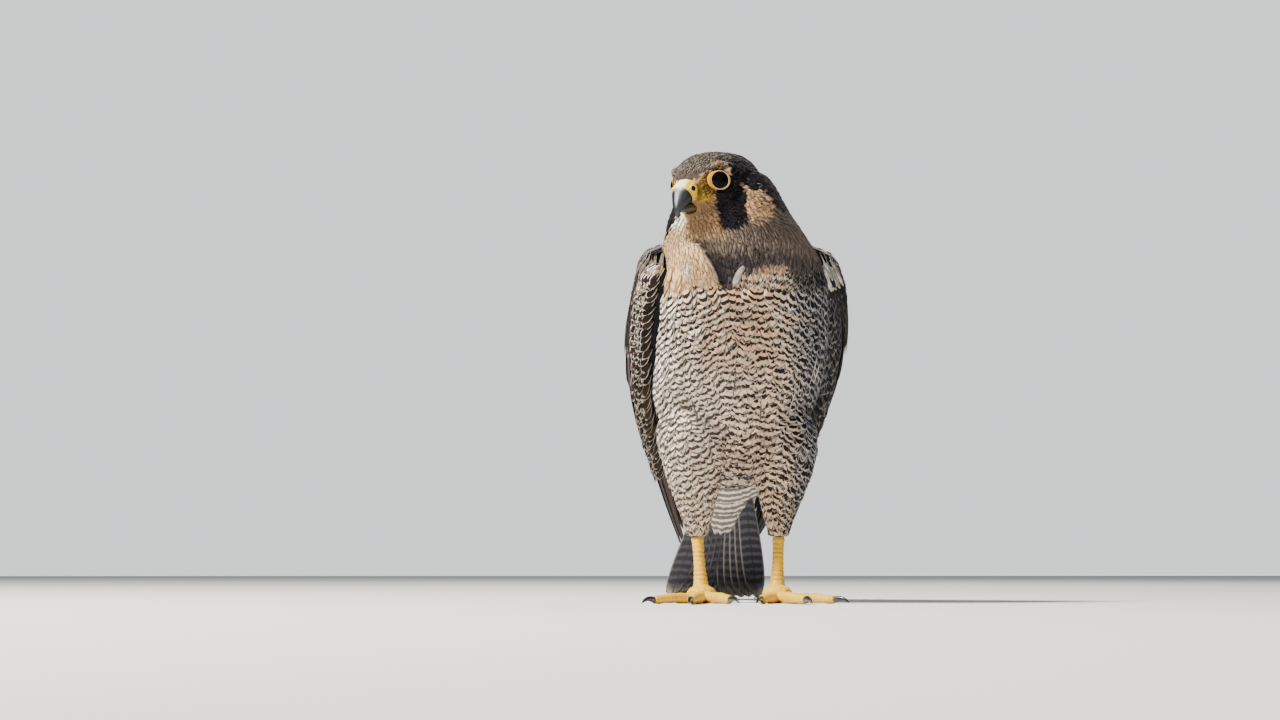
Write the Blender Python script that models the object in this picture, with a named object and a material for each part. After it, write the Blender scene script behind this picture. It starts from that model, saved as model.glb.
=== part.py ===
"""Peregrine falcon standing with folded wings, a still model at life size.

The bird faces -Y, its left side is at +X, and it stands on the floor at z = 0 with its head turned
to its right. The tables are in millimetres, and MM turns them into metres.
"""
import math
import random
from dataclasses import dataclass

import bmesh
import bpy
from mathutils import Matrix, Vector

MM = 0.001
GAP = 0.0003
SKIN_GAP = 0.00036
FLAT_ANGLE = math.radians(0.6)

# Where the middle of the bird's bounding box lies, before it is brought over the origin.
CENTRE_X = 0.0
CENTRE_Y = 0.0754

# The trunk, from inside the head down to the tail root: x, y, z of its axis, half width, depth in front
# of the axis and depth behind it.
TRUNK = (
    (-16, -37, 320, 9, 8, 8),
    (-11, -36, 311, 27, 19, 21),
    (-11, -35, 298, 36.5, 28, 30),
    (-10, -34, 284, 43.5, 34, 37),
    (-5, -29, 265, 53.5, 41, 42),
    (0, -21, 243, 62, 47, 44),
    (0, -7, 215, 65, 54, 45),
    (0, 10, 184, 65, 58, 45),
    (0, 29, 154, 59, 54, 41),
    (0, 50, 128, 46, 40, 34),
    (0, 69, 111, 34, 27, 25),
    (0, 88, 97, 25, 15, 15),
    (0, 110, 80.5, 20, 7.5, 8),
    (0, 132, 64.5, 12, 3.2, 3.6),
)
TRUNK_RINGS = 26
TRUNK_SIDES = 26
TRUNK_SQUARENESS = 2.2
NECK_CUT = ((0, -30, 270.5), (0, -0.12, 0.99))
TORSO_CUT = ((0, -24, 245), (0, -0.39, 0.92))
TAIL_CUT = ((0, 84, 101), (0, 0.80, -0.60))

# The head in its own frame: forward, left and up of its middle.
HEAD_AT = (-29, -46, 297.5)
HEAD_YAW = 44
HEAD_PITCH = 8
SKULL = (
    (-51, 4, 3, -8),
    (-49, 12, 11, -14),
    (-44, 19.5, 20, -20),
    (-34, 25.5, 26, -24.5),
    (-21, 28.5, 28, -26.5),
    (-7, 29, 28.2, -27.5),
    (5, 26.8, 27.2, -25.5),
    (13, 22.2, 23.8, -22.5),
    (18.5, 16.4, 18.4, -19.5),
    (22.5, 10.6, 12.5, -16.5),
    (25, 7.4, 8, -13.5),
    (26.5, 4, 3, -10.5),
)
SKULL_RINGS = 15
SKULL_SIDES = 20
EYE_LID_AT = (10.1, 21.8, 6.0)
EYE_TURN = 58
EYE_RADIUS = 8.6
EYE_SUNK = 6.0
LID_RADIUS = 6.9
LID_LONG = 1.13
LID_THICK = 1.35
LID_FLATNESS = 0.85
LID_SIDES = 16
LID_SECTION = 5
BROW = ((18, 8, 11.5), (14.5, 14.2, 13.9), (8.5, 19.6, 15.8), (0, 23.0, 14.6), (-8, 24.6, 11))
BROW_RADIUS = 4.0
LIP = ((23.5, 8.6, -7.8), (19.5, 12.8, -7.6), (15, 17.2, -7.8), (9, 21.4, -9.0))
LIP_RADIUS = 2.2
# The throat fills the hollow between the chin and the breast: x, y, z and radius at its ends.
THROAT_TOP = (3, 0, -10)
THROAT_FOOT = (-13, -33, 250)
THROAT_RADII = (21.5, 30)
# The slit of the mouth in the head's frame: where it ends at the back, its height, and its length,
# width and opening.
MOUTH_BACK = 11.5
MOUTH_HEIGHT = -8.6
MOUTH_SIZE = (32, 70, 0.6)

# The cere's rings and then the upper bill's: forward and up of the ridge, then of the lower edge, and
# half width. The seam between them slants back from the ridge to the gape.
CERE = (
    (12.0, 8.4, 12.0, -4.5, 8.0),
    (15.8, 10.2, 15.0, -6.8, 10.4),
    (20.5, 9.8, 18.4, -8.4, 11.2),
    (25.2, 8.3, 20.4, -8.8, 10.7),
    (29.2, 5.8, 22.0, -9.0, 9.6),
    (31.6, 2.6, 23.4, -9.2, 8.3),
)
NOSTRIL_AT = (24.9, 9.5, 0.9)
NOSTRIL_RADIUS = 1.6
NOSTRIL_DEEP = 2.2
BILL_UPPER = (
    (31.9, 2.2, 23.8, -9.4, 8.0),
    (33.0, -0.6, 26.4, -10.8, 7.2),
    (34.0, -3.8, 28.8, -12.2, 6.2),
    (34.9, -7.2, 31.0, -13.4, 5.0),
    (35.6, -10.8, 32.8, -14.8, 3.6),
    (35.8, -14.4, 34.0, -16.4, 2.2),
    (35.4, -17.2, 34.4, -18.2, 1.1),
)
BILL_TIP = (34.8, -19.6)
# The lower bill's rings: forward, half width, top and bottom.
BILL_LOWER = (
    (13.5, 6.8, -10.2, -14.0),
    (18.5, 7.2, -9.4, -15.0),
    (23.5, 6.5, -8.6, -15.4),
    (27.5, 5.2, -8.6, -15.4),
    (30.2, 3.8, -9.8, -15.2),
    (31.8, 2.2, -11.6, -14.6),
)

# The folded wing lies on a cloak: half an ellipse swept along an axis from the shoulder to the wing tip.
# y, z of the axis, then the half axes across and toward the back, at even steps of u from 0 to 1.
CLOAK = (
    (-17, 252, 74, 28),
    (3, 224, 80.5, 30),
    (28, 193, 82, 31),
    (55, 164, 78.5, 29.5),
    (84, 135, 69, 27),
    (115, 106, 57, 23.5),
    (148, 77, 44, 19),
    (182, 48, 30, 13),
    (216, 20, 16, 7),
)
CLOAK_LEADING = -45
CLOAK_BACK = 82
CLOAK_RATIO = 2.8
# The wing's solid middle: u, size against the cloak, and the depth of its inner face as a share of it.
WING_CORE = (
    (-0.040, 0.66, 0.62),
    (-0.026, 0.84, 0.58),
    (0.0, 0.95, 0.55),
    (0.045, 0.98, 0.55),
    (0.11, 0.985, 0.55),
    (0.18, 0.985, 0.55),
    (0.25, 0.985, 0.55),
    (0.32, 0.985, 0.58),
    (0.39, 0.985, 0.70),
    (0.45, 0.98, 0.90),
)
CORE_ARC = (-66, 80)
CORE_OUTER_POINTS = 12
CORE_INNER_POINTS = 6
WING_MIDLINE_GAP = 0.5

# The tail: where its feathers are rooted, their slope below the level and their length.
TAIL_ROOT = (0, 92, 96)
TAIL_SLOPE = 36.4
TAIL_LENGTH = 163
TAIL_PAIRS = 6
RECTRIX_WIDTH = 18
RECTRIX_THICK = 0.7
# The coverts over the tail root and under it: how many, their length and width, how far their row is
# from the middle of the tail, and how wide it spreads.
COVERT_ROWS = (
    (6, 62, 14, 5.0, 34),
    (6, 50, 15, 12.5, 40),
    (5, 66, 14, -6.5, 26),
)

# The legs. Thigh rings: x, y, z of the middle, half width and half depth.
THIGH = (
    (33, 6, 142, 18, 24),
    (34, 7, 128, 24, 31),
    (34, 9, 112, 25, 32),
    (33, 12, 96, 22.5, 27),
    (32, 15, 80, 17.5, 20.5),
    (31, 17.5, 66, 13, 15),
    (30.6, 18.6, 56, 9.6, 11.2),
    (30.3, 18.6, 49, 7.2, 8.6),
)
TARSUS = (
    (30.3, 18.6, 48.6, 4.8, 5.8),
    (29.9, 17.2, 42, 4.2, 5.2),
    (29.5, 15.8, 35, 4.1, 5.0),
    (29.0, 14, 26, 4.3, 5.0),
    (28.4, 11.6, 15, 5.4, 6.0),
    (28.2, 10.2, 8, 6.6, 7.2),
)
PAD_AT = (28, 9, 6.6)
PAD_SIZE = (11.5, 12.5, 7.0)
TOE_START = 17.5
TOE_SIDES = 10
# Places along a toe, past its two cut ends too, and how much it swells at each.
TOE_SWELLS = ((-0.05, 1.0), (0.16, 1.06), (0.36, 0.94), (0.5, 1.05), (0.68, 0.93), (0.84, 1.02), (1.05, 0.84))
CLAW_RINGS = 6
CLAW_BEND = 1.45
CLAW_SUNK = 1.0
CLAW_RISE = 1.1
CLAW_TIP_HEIGHT = 0.75
CLAW_TIP_RADIUS = 0.22


@dataclass(frozen=True)
class Toe:
    """One toe: its turn from straight ahead toward the midline, length, end radii and claw."""

    name: str
    turn: float
    length: float
    radius: float
    tip_radius: float
    claw: float


TOES = (
    Toe("middle", -12, 44, 4.4, 3.3, 15),
    Toe("inner", 21, 29, 4.2, 3.3, 16),
    Toe("outer", -47, 34, 4.0, 3.1, 13.5),
    Toe("hind", 166, 17, 4.1, 3.4, 17),
)


@dataclass(frozen=True)
class Tier:
    """One row of wing feathers, from the feather at the leading edge to the one nearest the back."""

    name: str
    count: int
    places: tuple
    roots: tuple
    tips: tuple
    width: float
    root_lift: float
    tip_lifts: tuple
    tilt: float
    rings: int
    sharp: float = 0.5


TIERS = (
    Tier("shoulder", 6, (0.09, 0.93), (0.0, 0.0), (0.10, 0.13), 23, -2.6, (1.6, 1.6), 6, 4),
    Tier("lesser", 7, (0.06, 0.94), (0.06, 0.06), (0.18, 0.21), 22, -2.6, (2.0, 2.0), 6.5, 4),
    Tier("median", 7, (0.07, 0.94), (0.13, 0.13), (0.26, 0.30), 22, -2.6, (2.2, 2.2), 6.5, 4),
    Tier("greater", 8, (0.05, 0.93), (0.21, 0.21), (0.38, 0.44), 20, -2.6, (2.8, 3.4), 7, 4),
    Tier("secondary", 8, (0.34, 0.96), (0.31, 0.31), (0.64, 0.66), 20, -2.4, (3.4, 5.4), 7, 5),
    Tier("primary", 10, (0.05, 0.80), (0.37, 0.39), (1.0, 0.71), 17, -2.4, (0.6, 4.2), 7, 6, 0.8),
)
PRIMARY_TIPS = (0.985, 1.0, 0.978, 0.945, 0.905, 0.865, 0.825, 0.785, 0.75, 0.715)
VANE_THICK = 0.6
SCATTER_SEED = 41

COLOURS = {
    "crown": (0.075, 0.068, 0.062, 0.80, 0.0),
    "breast": (0.62, 0.50, 0.38, 0.85, 0.0),
    "slate": (0.085, 0.088, 0.095, 0.75, 0.0),
    "yellow": (0.72, 0.50, 0.06, 0.45, 0.0),
    "bill": (0.13, 0.15, 0.18, 0.35, 0.0),
    "eye": (0.012, 0.008, 0.006, 0.08, 0.0),
    "claw": (0.02, 0.019, 0.018, 0.30, 0.0),
}


def clear_scene():
    """Removes every object that the file opened with."""
    for thing in list(bpy.data.objects):
        bpy.data.objects.remove(thing, do_unlink=True)


def material(name):
    """A Principled material with the named colour, roughness and metallic value."""
    made = bpy.data.materials.get(name)
    if made:
        return made
    red, green, blue, rough, metal = COLOURS[name]
    made = bpy.data.materials.new(name)
    made.use_nodes = True
    shader = made.node_tree.nodes["Principled BSDF"]
    shader.inputs["Base Color"].default_value = (red, green, blue, 1.0)
    shader.inputs["Roughness"].default_value = rough
    shader.inputs["Metallic"].default_value = metal
    return made


def spline(rows, t):
    """The row at t, from 0 to 1, on a Catmull-Rom curve through evenly spaced rows."""
    spans = len(rows) - 1
    place = min(max(t, 0.0), 1.0) * spans
    i = min(int(place), spans - 1)
    s = place - i
    p1, p2 = rows[i], rows[i + 1]
    p0 = rows[i - 1] if i else tuple(2 * a - b for a, b in zip(p1, p2))
    p3 = rows[i + 2] if i + 2 <= spans else tuple(2 * b - a for a, b in zip(p1, p2))
    return tuple(
        0.5 * (2 * b + (c - a) * s + (2 * a - 5 * b + 4 * c - d) * s ** 2 + (3 * b - a - 3 * c + d) * s ** 3)
        for a, b, c, d in zip(p0, p1, p2, p3)
    )


def face_out(bm):
    """Turns the faces of a closed bmesh outward."""
    bmesh.ops.recalc_face_normals(bm, faces=bm.faces)
    if bm.calc_volume(signed=True) < 0:
        bmesh.ops.reverse_faces(bm, faces=bm.faces)


def new_object(name, bm):
    """An object of the scene's own collection, made from a bmesh whose places are in metres."""
    face_out(bm)
    mesh = bpy.data.meshes.new(name)
    bm.to_mesh(mesh)
    bm.free()
    made = bpy.data.objects.new(name, mesh)
    bpy.context.scene.collection.objects.link(made)
    return made


def loft(name, rings):
    """A closed solid through rings of equal count, with a flat cap, or a pole, at each end."""
    bm = bmesh.new()
    rows = [[bm.verts.new(Vector(point) * MM) for point in ring] for ring in rings]
    for low, high in zip(rows, rows[1:]):
        count = max(len(low), len(high))
        for i in range(count):
            j = (i + 1) % count
            corners = [low[i % len(low)], low[j % len(low)], high[j % len(high)], high[i % len(high)]]
            bm.faces.new(list(dict.fromkeys(corners)))
    for row in (rows[0], rows[-1]):
        if len(row) > 1:
            bm.faces.new(row)
    return new_object(name, bm)


def oval(middle, across, upward, half_width, up, down, sides, power=2.0):
    """A ring of points about a middle, with unlike heights above and below it."""
    ring = []
    for i in range(sides):
        turn = math.tau * (i + 0.5) / sides
        c, s = math.cos(turn), math.sin(turn)
        x = half_width * math.copysign(abs(c) ** (2 / power), c)
        z = (up if s > 0 else down) * math.copysign(abs(s) ** (2 / power), s)
        ring.append(Vector(middle) + across * x + upward * z)
    return ring


def sliced(thing, point, normal):
    """Cuts away what lies on the normal's side of a plane and closes the cut."""
    bm = bmesh.new()
    bm.from_mesh(thing.data)
    bmesh.ops.bisect_plane(
        bm, geom=bm.verts[:] + bm.edges[:] + bm.faces[:], dist=1e-7,
        plane_co=Vector(point), plane_no=Vector(normal), clear_outer=True,
    )
    rim = [edge for edge in bm.edges if edge.is_boundary]
    if rim:
        bmesh.ops.edgeloop_fill(bm, edges=rim)
    face_out(bm)
    bm.to_mesh(thing.data)
    bm.free()


def keep_largest(thing):
    """Keeps only the closed surface with the largest volume."""
    bm = bmesh.new()
    bm.from_mesh(thing.data)
    bm.verts.ensure_lookup_table()
    seen, shells = set(), []
    for start in bm.verts:
        if start.index in seen:
            continue
        stack, shell = [start], []
        seen.add(start.index)
        while stack:
            vert = stack.pop()
            shell.append(vert)
            for edge in vert.link_edges:
                other = edge.other_vert(vert)
                if other.index not in seen:
                    seen.add(other.index)
                    stack.append(other)
        shells.append(shell)
    if len(shells) > 1:
        shells.sort(key=shell_volume, reverse=True)
        bmesh.ops.delete(bm, geom=[vert for shell in shells[1:] for vert in shell], context="VERTS")
        bm.to_mesh(thing.data)
    bm.free()


def shell_volume(shell):
    """The volume that a shell of linked vertices encloses."""
    total = 0.0
    for face in {face for vert in shell for face in vert.link_faces}:
        a = face.verts[0].co
        for b, c in zip(face.verts[1:], face.verts[2:]):
            total += a.dot(b.co.cross(c.co)) / 6
    return abs(total)


def settle(thing):
    """Applies the modifiers and merges what they leave doubled."""
    graph = bpy.context.evaluated_depsgraph_get()
    mesh = bpy.data.meshes.new_from_object(thing.evaluated_get(graph))
    thing.modifiers.clear()
    thing.data = mesh
    bm = bmesh.new()
    bm.from_mesh(mesh)
    bmesh.ops.remove_doubles(bm, verts=bm.verts, dist=2e-6)
    bmesh.ops.dissolve_degenerate(bm, edges=bm.edges, dist=2e-6)
    bmesh.ops.dissolve_limit(
        bm, angle_limit=FLAT_ANGLE, use_dissolve_boundaries=False, verts=bm.verts, edges=bm.edges,
    )
    bmesh.ops.triangulate(bm, faces=bm.faces)
    bm.to_mesh(mesh)
    bm.free()


def combined(thing, others, operation, solver="EXACT"):
    """One Boolean of a thing with a collection of others, which are then removed."""
    group = bpy.data.collections.new(thing.name + "_others")
    bpy.context.scene.collection.children.link(group)
    for other in others:
        bpy.context.scene.collection.objects.unlink(other)
        group.objects.link(other)
    boolean = thing.modifiers.new("combine", "BOOLEAN")
    boolean.operand_type = "COLLECTION"
    boolean.collection = group
    boolean.operation = operation
    boolean.solver = solver
    settle(thing)
    for other in others:
        bpy.data.objects.remove(other, do_unlink=True)
    bpy.data.collections.remove(group)
    keep_largest(thing)
    return thing


def grown(thing, gap):
    """A copy of a thing, larger by a gap on every side."""
    bm = bmesh.new()
    bm.from_mesh(thing.data)
    bm.normal_update()
    moves = [(vert, vert.normal * gap * min(vert.calc_shell_factor(), 1.6)) for vert in bm.verts]
    for vert, move in moves:
        vert.co += move
    return new_object(thing.name + "_grown", bm)


def carved(thing, *others, gap=SKIN_GAP):
    """Cuts a thing clear of the others by a gap."""
    return combined(thing, [grown(other, gap) for other in others], "DIFFERENCE")


def copied(thing, name):
    """A second object with its own copy of the mesh."""
    made = bpy.data.objects.new(name, thing.data.copy())
    bpy.context.scene.collection.objects.link(made)
    return made


def ball(name, middle, radii, turn=None, sides=20, rings=12):
    """An ellipsoid with a place and half sizes in millimetres."""
    bm = bmesh.new()
    bmesh.ops.create_uvsphere(bm, u_segments=sides, v_segments=rings, radius=1.0)
    size = Matrix.Diagonal((*[r * MM for r in radii], 1.0))
    facing = (turn or Matrix.Identity(3)).to_4x4()
    bm.transform(Matrix.Translation(Vector(middle) * MM) @ facing @ size)
    return new_object(name, bm)


def tube(name, points, radii, sides):
    """A round solid along points, with a radius at each."""
    rings = []
    for i, point in enumerate(points):
        ahead = Vector(points[min(i + 1, len(points) - 1)]) - Vector(points[max(i - 1, 0)])
        across = ahead.cross(Vector((0, 0, 1)))
        if across.length < 1e-3:
            across = Vector((1, 0, 0))
        across.normalize()
        upward = across.cross(ahead).normalized()
        rings.append(oval(point, across, upward, radii[i], radii[i], radii[i], sides))
    return loft(name, rings)


def head_axes():
    """The head's forward, left and up directions."""
    yaw, pitch = math.radians(HEAD_YAW), math.radians(HEAD_PITCH)
    ahead = Vector((-math.sin(yaw) * math.cos(pitch), -math.cos(yaw) * math.cos(pitch), -math.sin(pitch)))
    left = Vector((math.cos(yaw), -math.sin(yaw), 0))
    return ahead, left, ahead.cross(left)


def on_head(forward, left, up):
    """A place given in the head's own frame."""
    ahead, side, top = head_axes()
    return Vector(HEAD_AT) + ahead * forward + side * left + top * up


def trunk_form():
    """The trunk from head to tail root, one closed loft."""
    rings = []
    for i in range(TRUNK_RINGS):
        t = i / (TRUNK_RINGS - 1)
        x, y, z, half_width, front, back = spline(TRUNK, t)
        ahead = Vector(spline(TRUNK, t + 0.01)[1:3]) - Vector(spline(TRUNK, t - 0.01)[1:3])
        ahead.normalize()
        backward = Vector((0, -ahead.y, ahead.x))
        rings.append(oval(
            (x, y, z), Vector((1, 0, 0)), backward, half_width, back, front, TRUNK_SIDES, TRUNK_SQUARENESS,
        ))
    return loft("trunk", rings)


def skull_form():
    """The head's own rounded form, before the bill and the eyes."""
    ahead, side, top = head_axes()
    rings = []
    for i in range(SKULL_RINGS):
        forward, half_width, up, down = spline(SKULL, i / (SKULL_RINGS - 1))
        rings.append(oval(on_head(forward, 0, 0), side, top, half_width, up, -down, SKULL_SIDES, 2.1))
    return loft("skull", rings)


def throat_form():
    """The full throat between the chin and the breast."""
    return tube("throat", [on_head(*THROAT_TOP), Vector(THROAT_FOOT)], THROAT_RADII, 16)


def eye_axes(side):
    """The middle of an eye's lids and the direction that the eye looks in."""
    ahead, left, top = head_axes()
    forward, out, up = EYE_LID_AT
    turn = math.radians(EYE_TURN)
    look = ahead * math.cos(turn) + left * side * math.sin(turn)
    return on_head(forward, out * side, up), look


def lid(side):
    """The ring of bare skin about one eye."""
    middle, look = eye_axes(side)
    bm = bmesh.new()
    rings = []
    facing = look.to_track_quat("Z", "Y")
    for i in range(LID_SIDES):
        turn = math.tau * i / LID_SIDES
        spoke = facing @ Vector((math.cos(turn) * LID_LONG, math.sin(turn), 0))
        ring = []
        for j in range(LID_SECTION):
            bend = math.tau * j / LID_SECTION
            reach = LID_RADIUS + LID_THICK * math.cos(bend)
            rise = LID_THICK * LID_FLATNESS * math.sin(bend)
            ring.append(bm.verts.new((middle + spoke * reach + look * rise) * MM))
        rings.append(ring)
    for ring, after in zip(rings, rings[1:] + rings[:1]):
        for j in range(LID_SECTION):
            k = (j + 1) % LID_SECTION
            bm.faces.new((ring[j], ring[k], after[k], after[j]))
    return new_object("lid", bm)


def make_head(whole):
    """The head with its lids, brows, lips and gape, and the pieces that it carries."""
    head = copied(whole, "head")
    point, normal = NECK_CUT
    sliced(head, Vector(point) * MM - Vector(normal).normalized() * -GAP / 2, -Vector(normal))
    ahead, left, top = head_axes()
    pieces = []
    for side in (1, -1):
        pieces.append(lid(side))
        brow = [on_head(f, l * side, h) for f, l, h in BROW]
        pieces.append(tube("brow", brow, [BROW_RADIUS * k for k in (0.35, 0.85, 1.0, 0.9, 0.4)], 7))
        lip = [on_head(f, l * side, h) for f, l, h in LIP]
        pieces.append(tube("lip", lip, [LIP_RADIUS * k for k in (0.4, 0.9, 1.0, 0.6)], 8))
    combined(head, pieces, "UNION")
    return head


def bill_oval(ridge, edge, half_width, sides=12):
    """A ring of the upper bill between its ridge and its cutting edge."""
    ahead, left, top = head_axes()
    high, low = on_head(ridge[0], 0, ridge[1]), on_head(edge[0], 0, edge[1])
    upward = (high - low).normalized()
    reach = (high - low).length
    return oval(low + upward * reach * 0.42, left, upward, half_width, reach * 0.58, reach * 0.42, sides, 2.3)


def make_cere():
    """The yellow cere, with a round nostril in each side."""
    cere = loft("cere", [bill_oval((a, b), (c, d), w, 16) for a, b, c, d, w in CERE])
    cutters = []
    for side in (1, -1):
        forward, out, up = NOSTRIL_AT
        inward = on_head(forward - 1.5, (out - NOSTRIL_DEEP) * side, up)
        outward = on_head(forward + 2.5, (out + 4) * side, up)
        cutters.append(tube("nostril", [inward, outward], [NOSTRIL_RADIUS] * 2, 12))
    return combined(cere, cutters, "DIFFERENCE")


def make_bill(cere):
    """The hooked upper bill and the lower bill, which is cut clear of the cere too."""
    rings = [bill_oval((a, b), (c, d), w) for a, b, c, d, w in BILL_UPPER]
    rings.append([on_head(BILL_TIP[0], 0, BILL_TIP[1])])
    upper = loft("bill_upper", rings)
    ahead, left, top = head_axes()
    rings = []
    for forward, half_width, high, low in BILL_LOWER:
        middle = high * 0.35 + low * 0.65
        rings.append(oval(on_head(forward, 0, middle), left, top, half_width, high - middle, middle - low, 12, 2.3))
    lower = loft("bill_lower", rings)
    carved(lower, upper, cere)
    return upper, lower


def mouth_cutter():
    """A thin slab that opens the line of the mouth."""
    bm = bmesh.new()
    bmesh.ops.create_cube(bm, size=1.0)
    facing = Matrix(head_axes()).transposed().to_4x4()
    size = Matrix.Diagonal((*[value * MM for value in MOUTH_SIZE], 1.0))
    middle = on_head(MOUTH_BACK + MOUTH_SIZE[0] / 2, 0, MOUTH_HEIGHT) * MM
    bm.transform(Matrix.Translation(middle) @ facing @ size)
    return new_object("mouth", bm)


def eyeball(side, extra=0.0):
    """One eye, or the hollow that it sits in."""
    middle, look = eye_axes(side)
    radius = EYE_RADIUS + extra
    turn = look.to_track_quat("Z", "Y").to_matrix()
    return ball("eye", middle - look * EYE_SUNK, (radius,) * 3, turn, 16, 9)


def arc_place(q):
    """The ellipse's angle at the share q of the way from the leading edge to the back."""
    steps = 90
    low, high = math.radians(CLOAK_LEADING), math.radians(CLOAK_BACK)
    turns = [low + (high - low) * i / steps for i in range(steps + 1)]
    runs = [0.0]
    for before, after in zip(turns, turns[1:]):
        across = CLOAK_RATIO * (math.cos(after) - math.cos(before))
        runs.append(runs[-1] + math.hypot(across, math.sin(after) - math.sin(before)))
    want = q * runs[-1]
    for i in range(steps):
        if runs[i + 1] >= want or i == steps - 1:
            share = (want - runs[i]) / (runs[i + 1] - runs[i])
            return turns[i] + (turns[i + 1] - turns[i]) * share
    return high


def cloak(u, turn, scale=1.0, lift=0.0):
    """A place on the left wing's cloak, its outward normal and its direction along the wing."""
    y, z, wide, deep = spline(CLOAK, u)
    past = min(u, 0.0) * (len(CLOAK) - 1)
    y += past * (CLOAK[1][0] - CLOAK[0][0])
    z += past * (CLOAK[1][1] - CLOAK[0][1])
    after, before = spline(CLOAK, u + 0.01), spline(CLOAK, u - 0.01)
    along = Vector((0, after[0] - before[0], after[1] - before[1])).normalized()
    dorsal = Vector((0, -along.z, along.y))
    c, s = math.cos(turn), math.sin(turn)
    normal = (Vector((1, 0, 0)) * deep * c + dorsal * wide * s).normalized()
    point = Vector((0, y, z)) + (Vector((1, 0, 0)) * wide * c + dorsal * deep * s) * scale + normal * lift
    return point, normal, along


def wing_core():
    """The wing's solid middle, under the feathers."""
    low, high = (math.radians(turn) for turn in CORE_ARC)
    rings = []
    for u, scale, inner in WING_CORE:
        ring = []
        for i in range(CORE_OUTER_POINTS):
            turn = low + (high - low) * i / (CORE_OUTER_POINTS - 1)
            ring.append(cloak(u, turn, scale)[0])
        for i in range(CORE_INNER_POINTS):
            turn = high + (low - high) * i / (CORE_INNER_POINTS - 1)
            ring.append(cloak(u, turn, scale * inner)[0])
        rings.append(ring)
    return loft("core", rings)


def vane(name, frames, half_widths, thicks):
    """A thin closed feather through frames of middle, across and normal directions."""
    bm = bmesh.new()
    rows = []
    for (middle, across, normal), half, thick in zip(frames, half_widths, thicks):
        rows.append([
            bm.verts.new((middle + across * half * x + normal * thick * 0.5 * z) * MM)
            for x, z in ((-1, 1), (1, 1), (1, -1), (-1, -1))
        ])
    for near, far in zip(rows, rows[1:]):
        a, b, c, d = near
        e, f, g, h = far
        for corners in ((a, b, f), (a, f, e), (d, g, c), (d, h, g), (b, c, g), (b, g, f), (a, e, h), (a, h, d)):
            bm.faces.new(corners)
    for a, b, c, d in (rows[0], rows[-1]):
        bm.faces.new((a, b, c))
        bm.faces.new((a, c, d))
    return new_object(name, bm)


def ring_steps(rings):
    """Where a vane's rings stand along it, closer together toward the tip."""
    return [1 - (1 - i / (rings - 1)) ** 1.35 for i in range(rings)]


def wing_vane(tier, index, chance):
    """One feather of a tier on the left wing."""
    k = index / (tier.count - 1)
    q = tier.places[0] + (tier.places[1] - tier.places[0]) * k + chance.uniform(-0.006, 0.006)
    root = tier.roots[0] + (tier.roots[1] - tier.roots[0]) * k
    tip = tier.tips[0] + (tier.tips[1] - tier.tips[0]) * k + chance.uniform(-0.004, 0.004)
    if tier.name == "primary":
        tip = PRIMARY_TIPS[index]
    tip_lift = tier.tip_lifts[0] + (tier.tip_lifts[1] - tier.tip_lifts[0]) * k
    turn = arc_place(q)
    steps = ring_steps(tier.rings)
    places = []
    for s in steps:
        u = root + (tip - root) * s
        lift = tier.root_lift + (tip_lift - tier.root_lift) * s ** 0.9
        places.append(cloak(u, turn, 1.0, lift))
    frames = []
    for i, (point, normal, along) in enumerate(places):
        ahead = places[min(i + 1, len(places) - 1)][0] - places[max(i - 1, 0)][0]
        across = normal.cross(ahead).normalized()
        square = ahead.cross(across).normalized()
        if square.dot(normal) < 0:
            square = -square
        lean = math.radians(tier.tilt)
        outward = across * math.cos(lean) + square * math.sin(lean) * lean_sign(across)
        frames.append((point, outward, ahead.cross(outward).normalized()))
    shares = [outline_at(s, tier.sharp) for s in steps]
    halves = [tier.width / 2 * share * narrowing(root + (tip - root) * s) for share, s in zip(shares, steps)]
    thicks = [VANE_THICK] * len(steps)
    return vane(tier.name, frames, halves, thicks)


def lean_sign(across):
    """Which way a vane leans so that its edge toward the belly is the raised one."""
    belly = Vector((0, -0.7, -0.7))
    return 1.0 if across.dot(belly) > 0 else -1.0


def outline_at(s, sharp):
    """A vane's half width at the share s of its length, against its greatest."""
    body = 0.60 + 0.40 * min(s / 0.3, 1.0)
    tip = max(0.0, (s - (1 - 0.6 * sharp)) / (0.6 * sharp))
    return body * max(0.14, math.sqrt(max(0.0, 1 - tip ** 2)))


def narrowing(u):
    """How much narrower the feathers lie where the cloak runs out to the wing tip."""
    return 1.0 if u < 0.55 else 1.0 - 0.35 * (u - 0.55) / 0.45


def make_wing(side, body):
    """One folded wing, its core cut clear of the body and every tier fused to it."""
    chance = random.Random(SCATTER_SEED)
    core = wing_core()
    vanes = [wing_vane(tier, i, chance) for tier in TIERS for i in range(tier.count)]
    wing = combined(core, vanes, "UNION")
    wing.name = "wing_left" if side > 0 else "wing_right"
    if side < 0:
        wing.data.transform(Matrix.Diagonal((-1, 1, 1, 1)))
        wing.data.flip_normals()
    carved(wing, body)
    sliced(wing, (side * WING_MIDLINE_GAP * MM, 0, 0), (-side, 0, 0))
    keep_largest(wing)
    return wing


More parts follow.
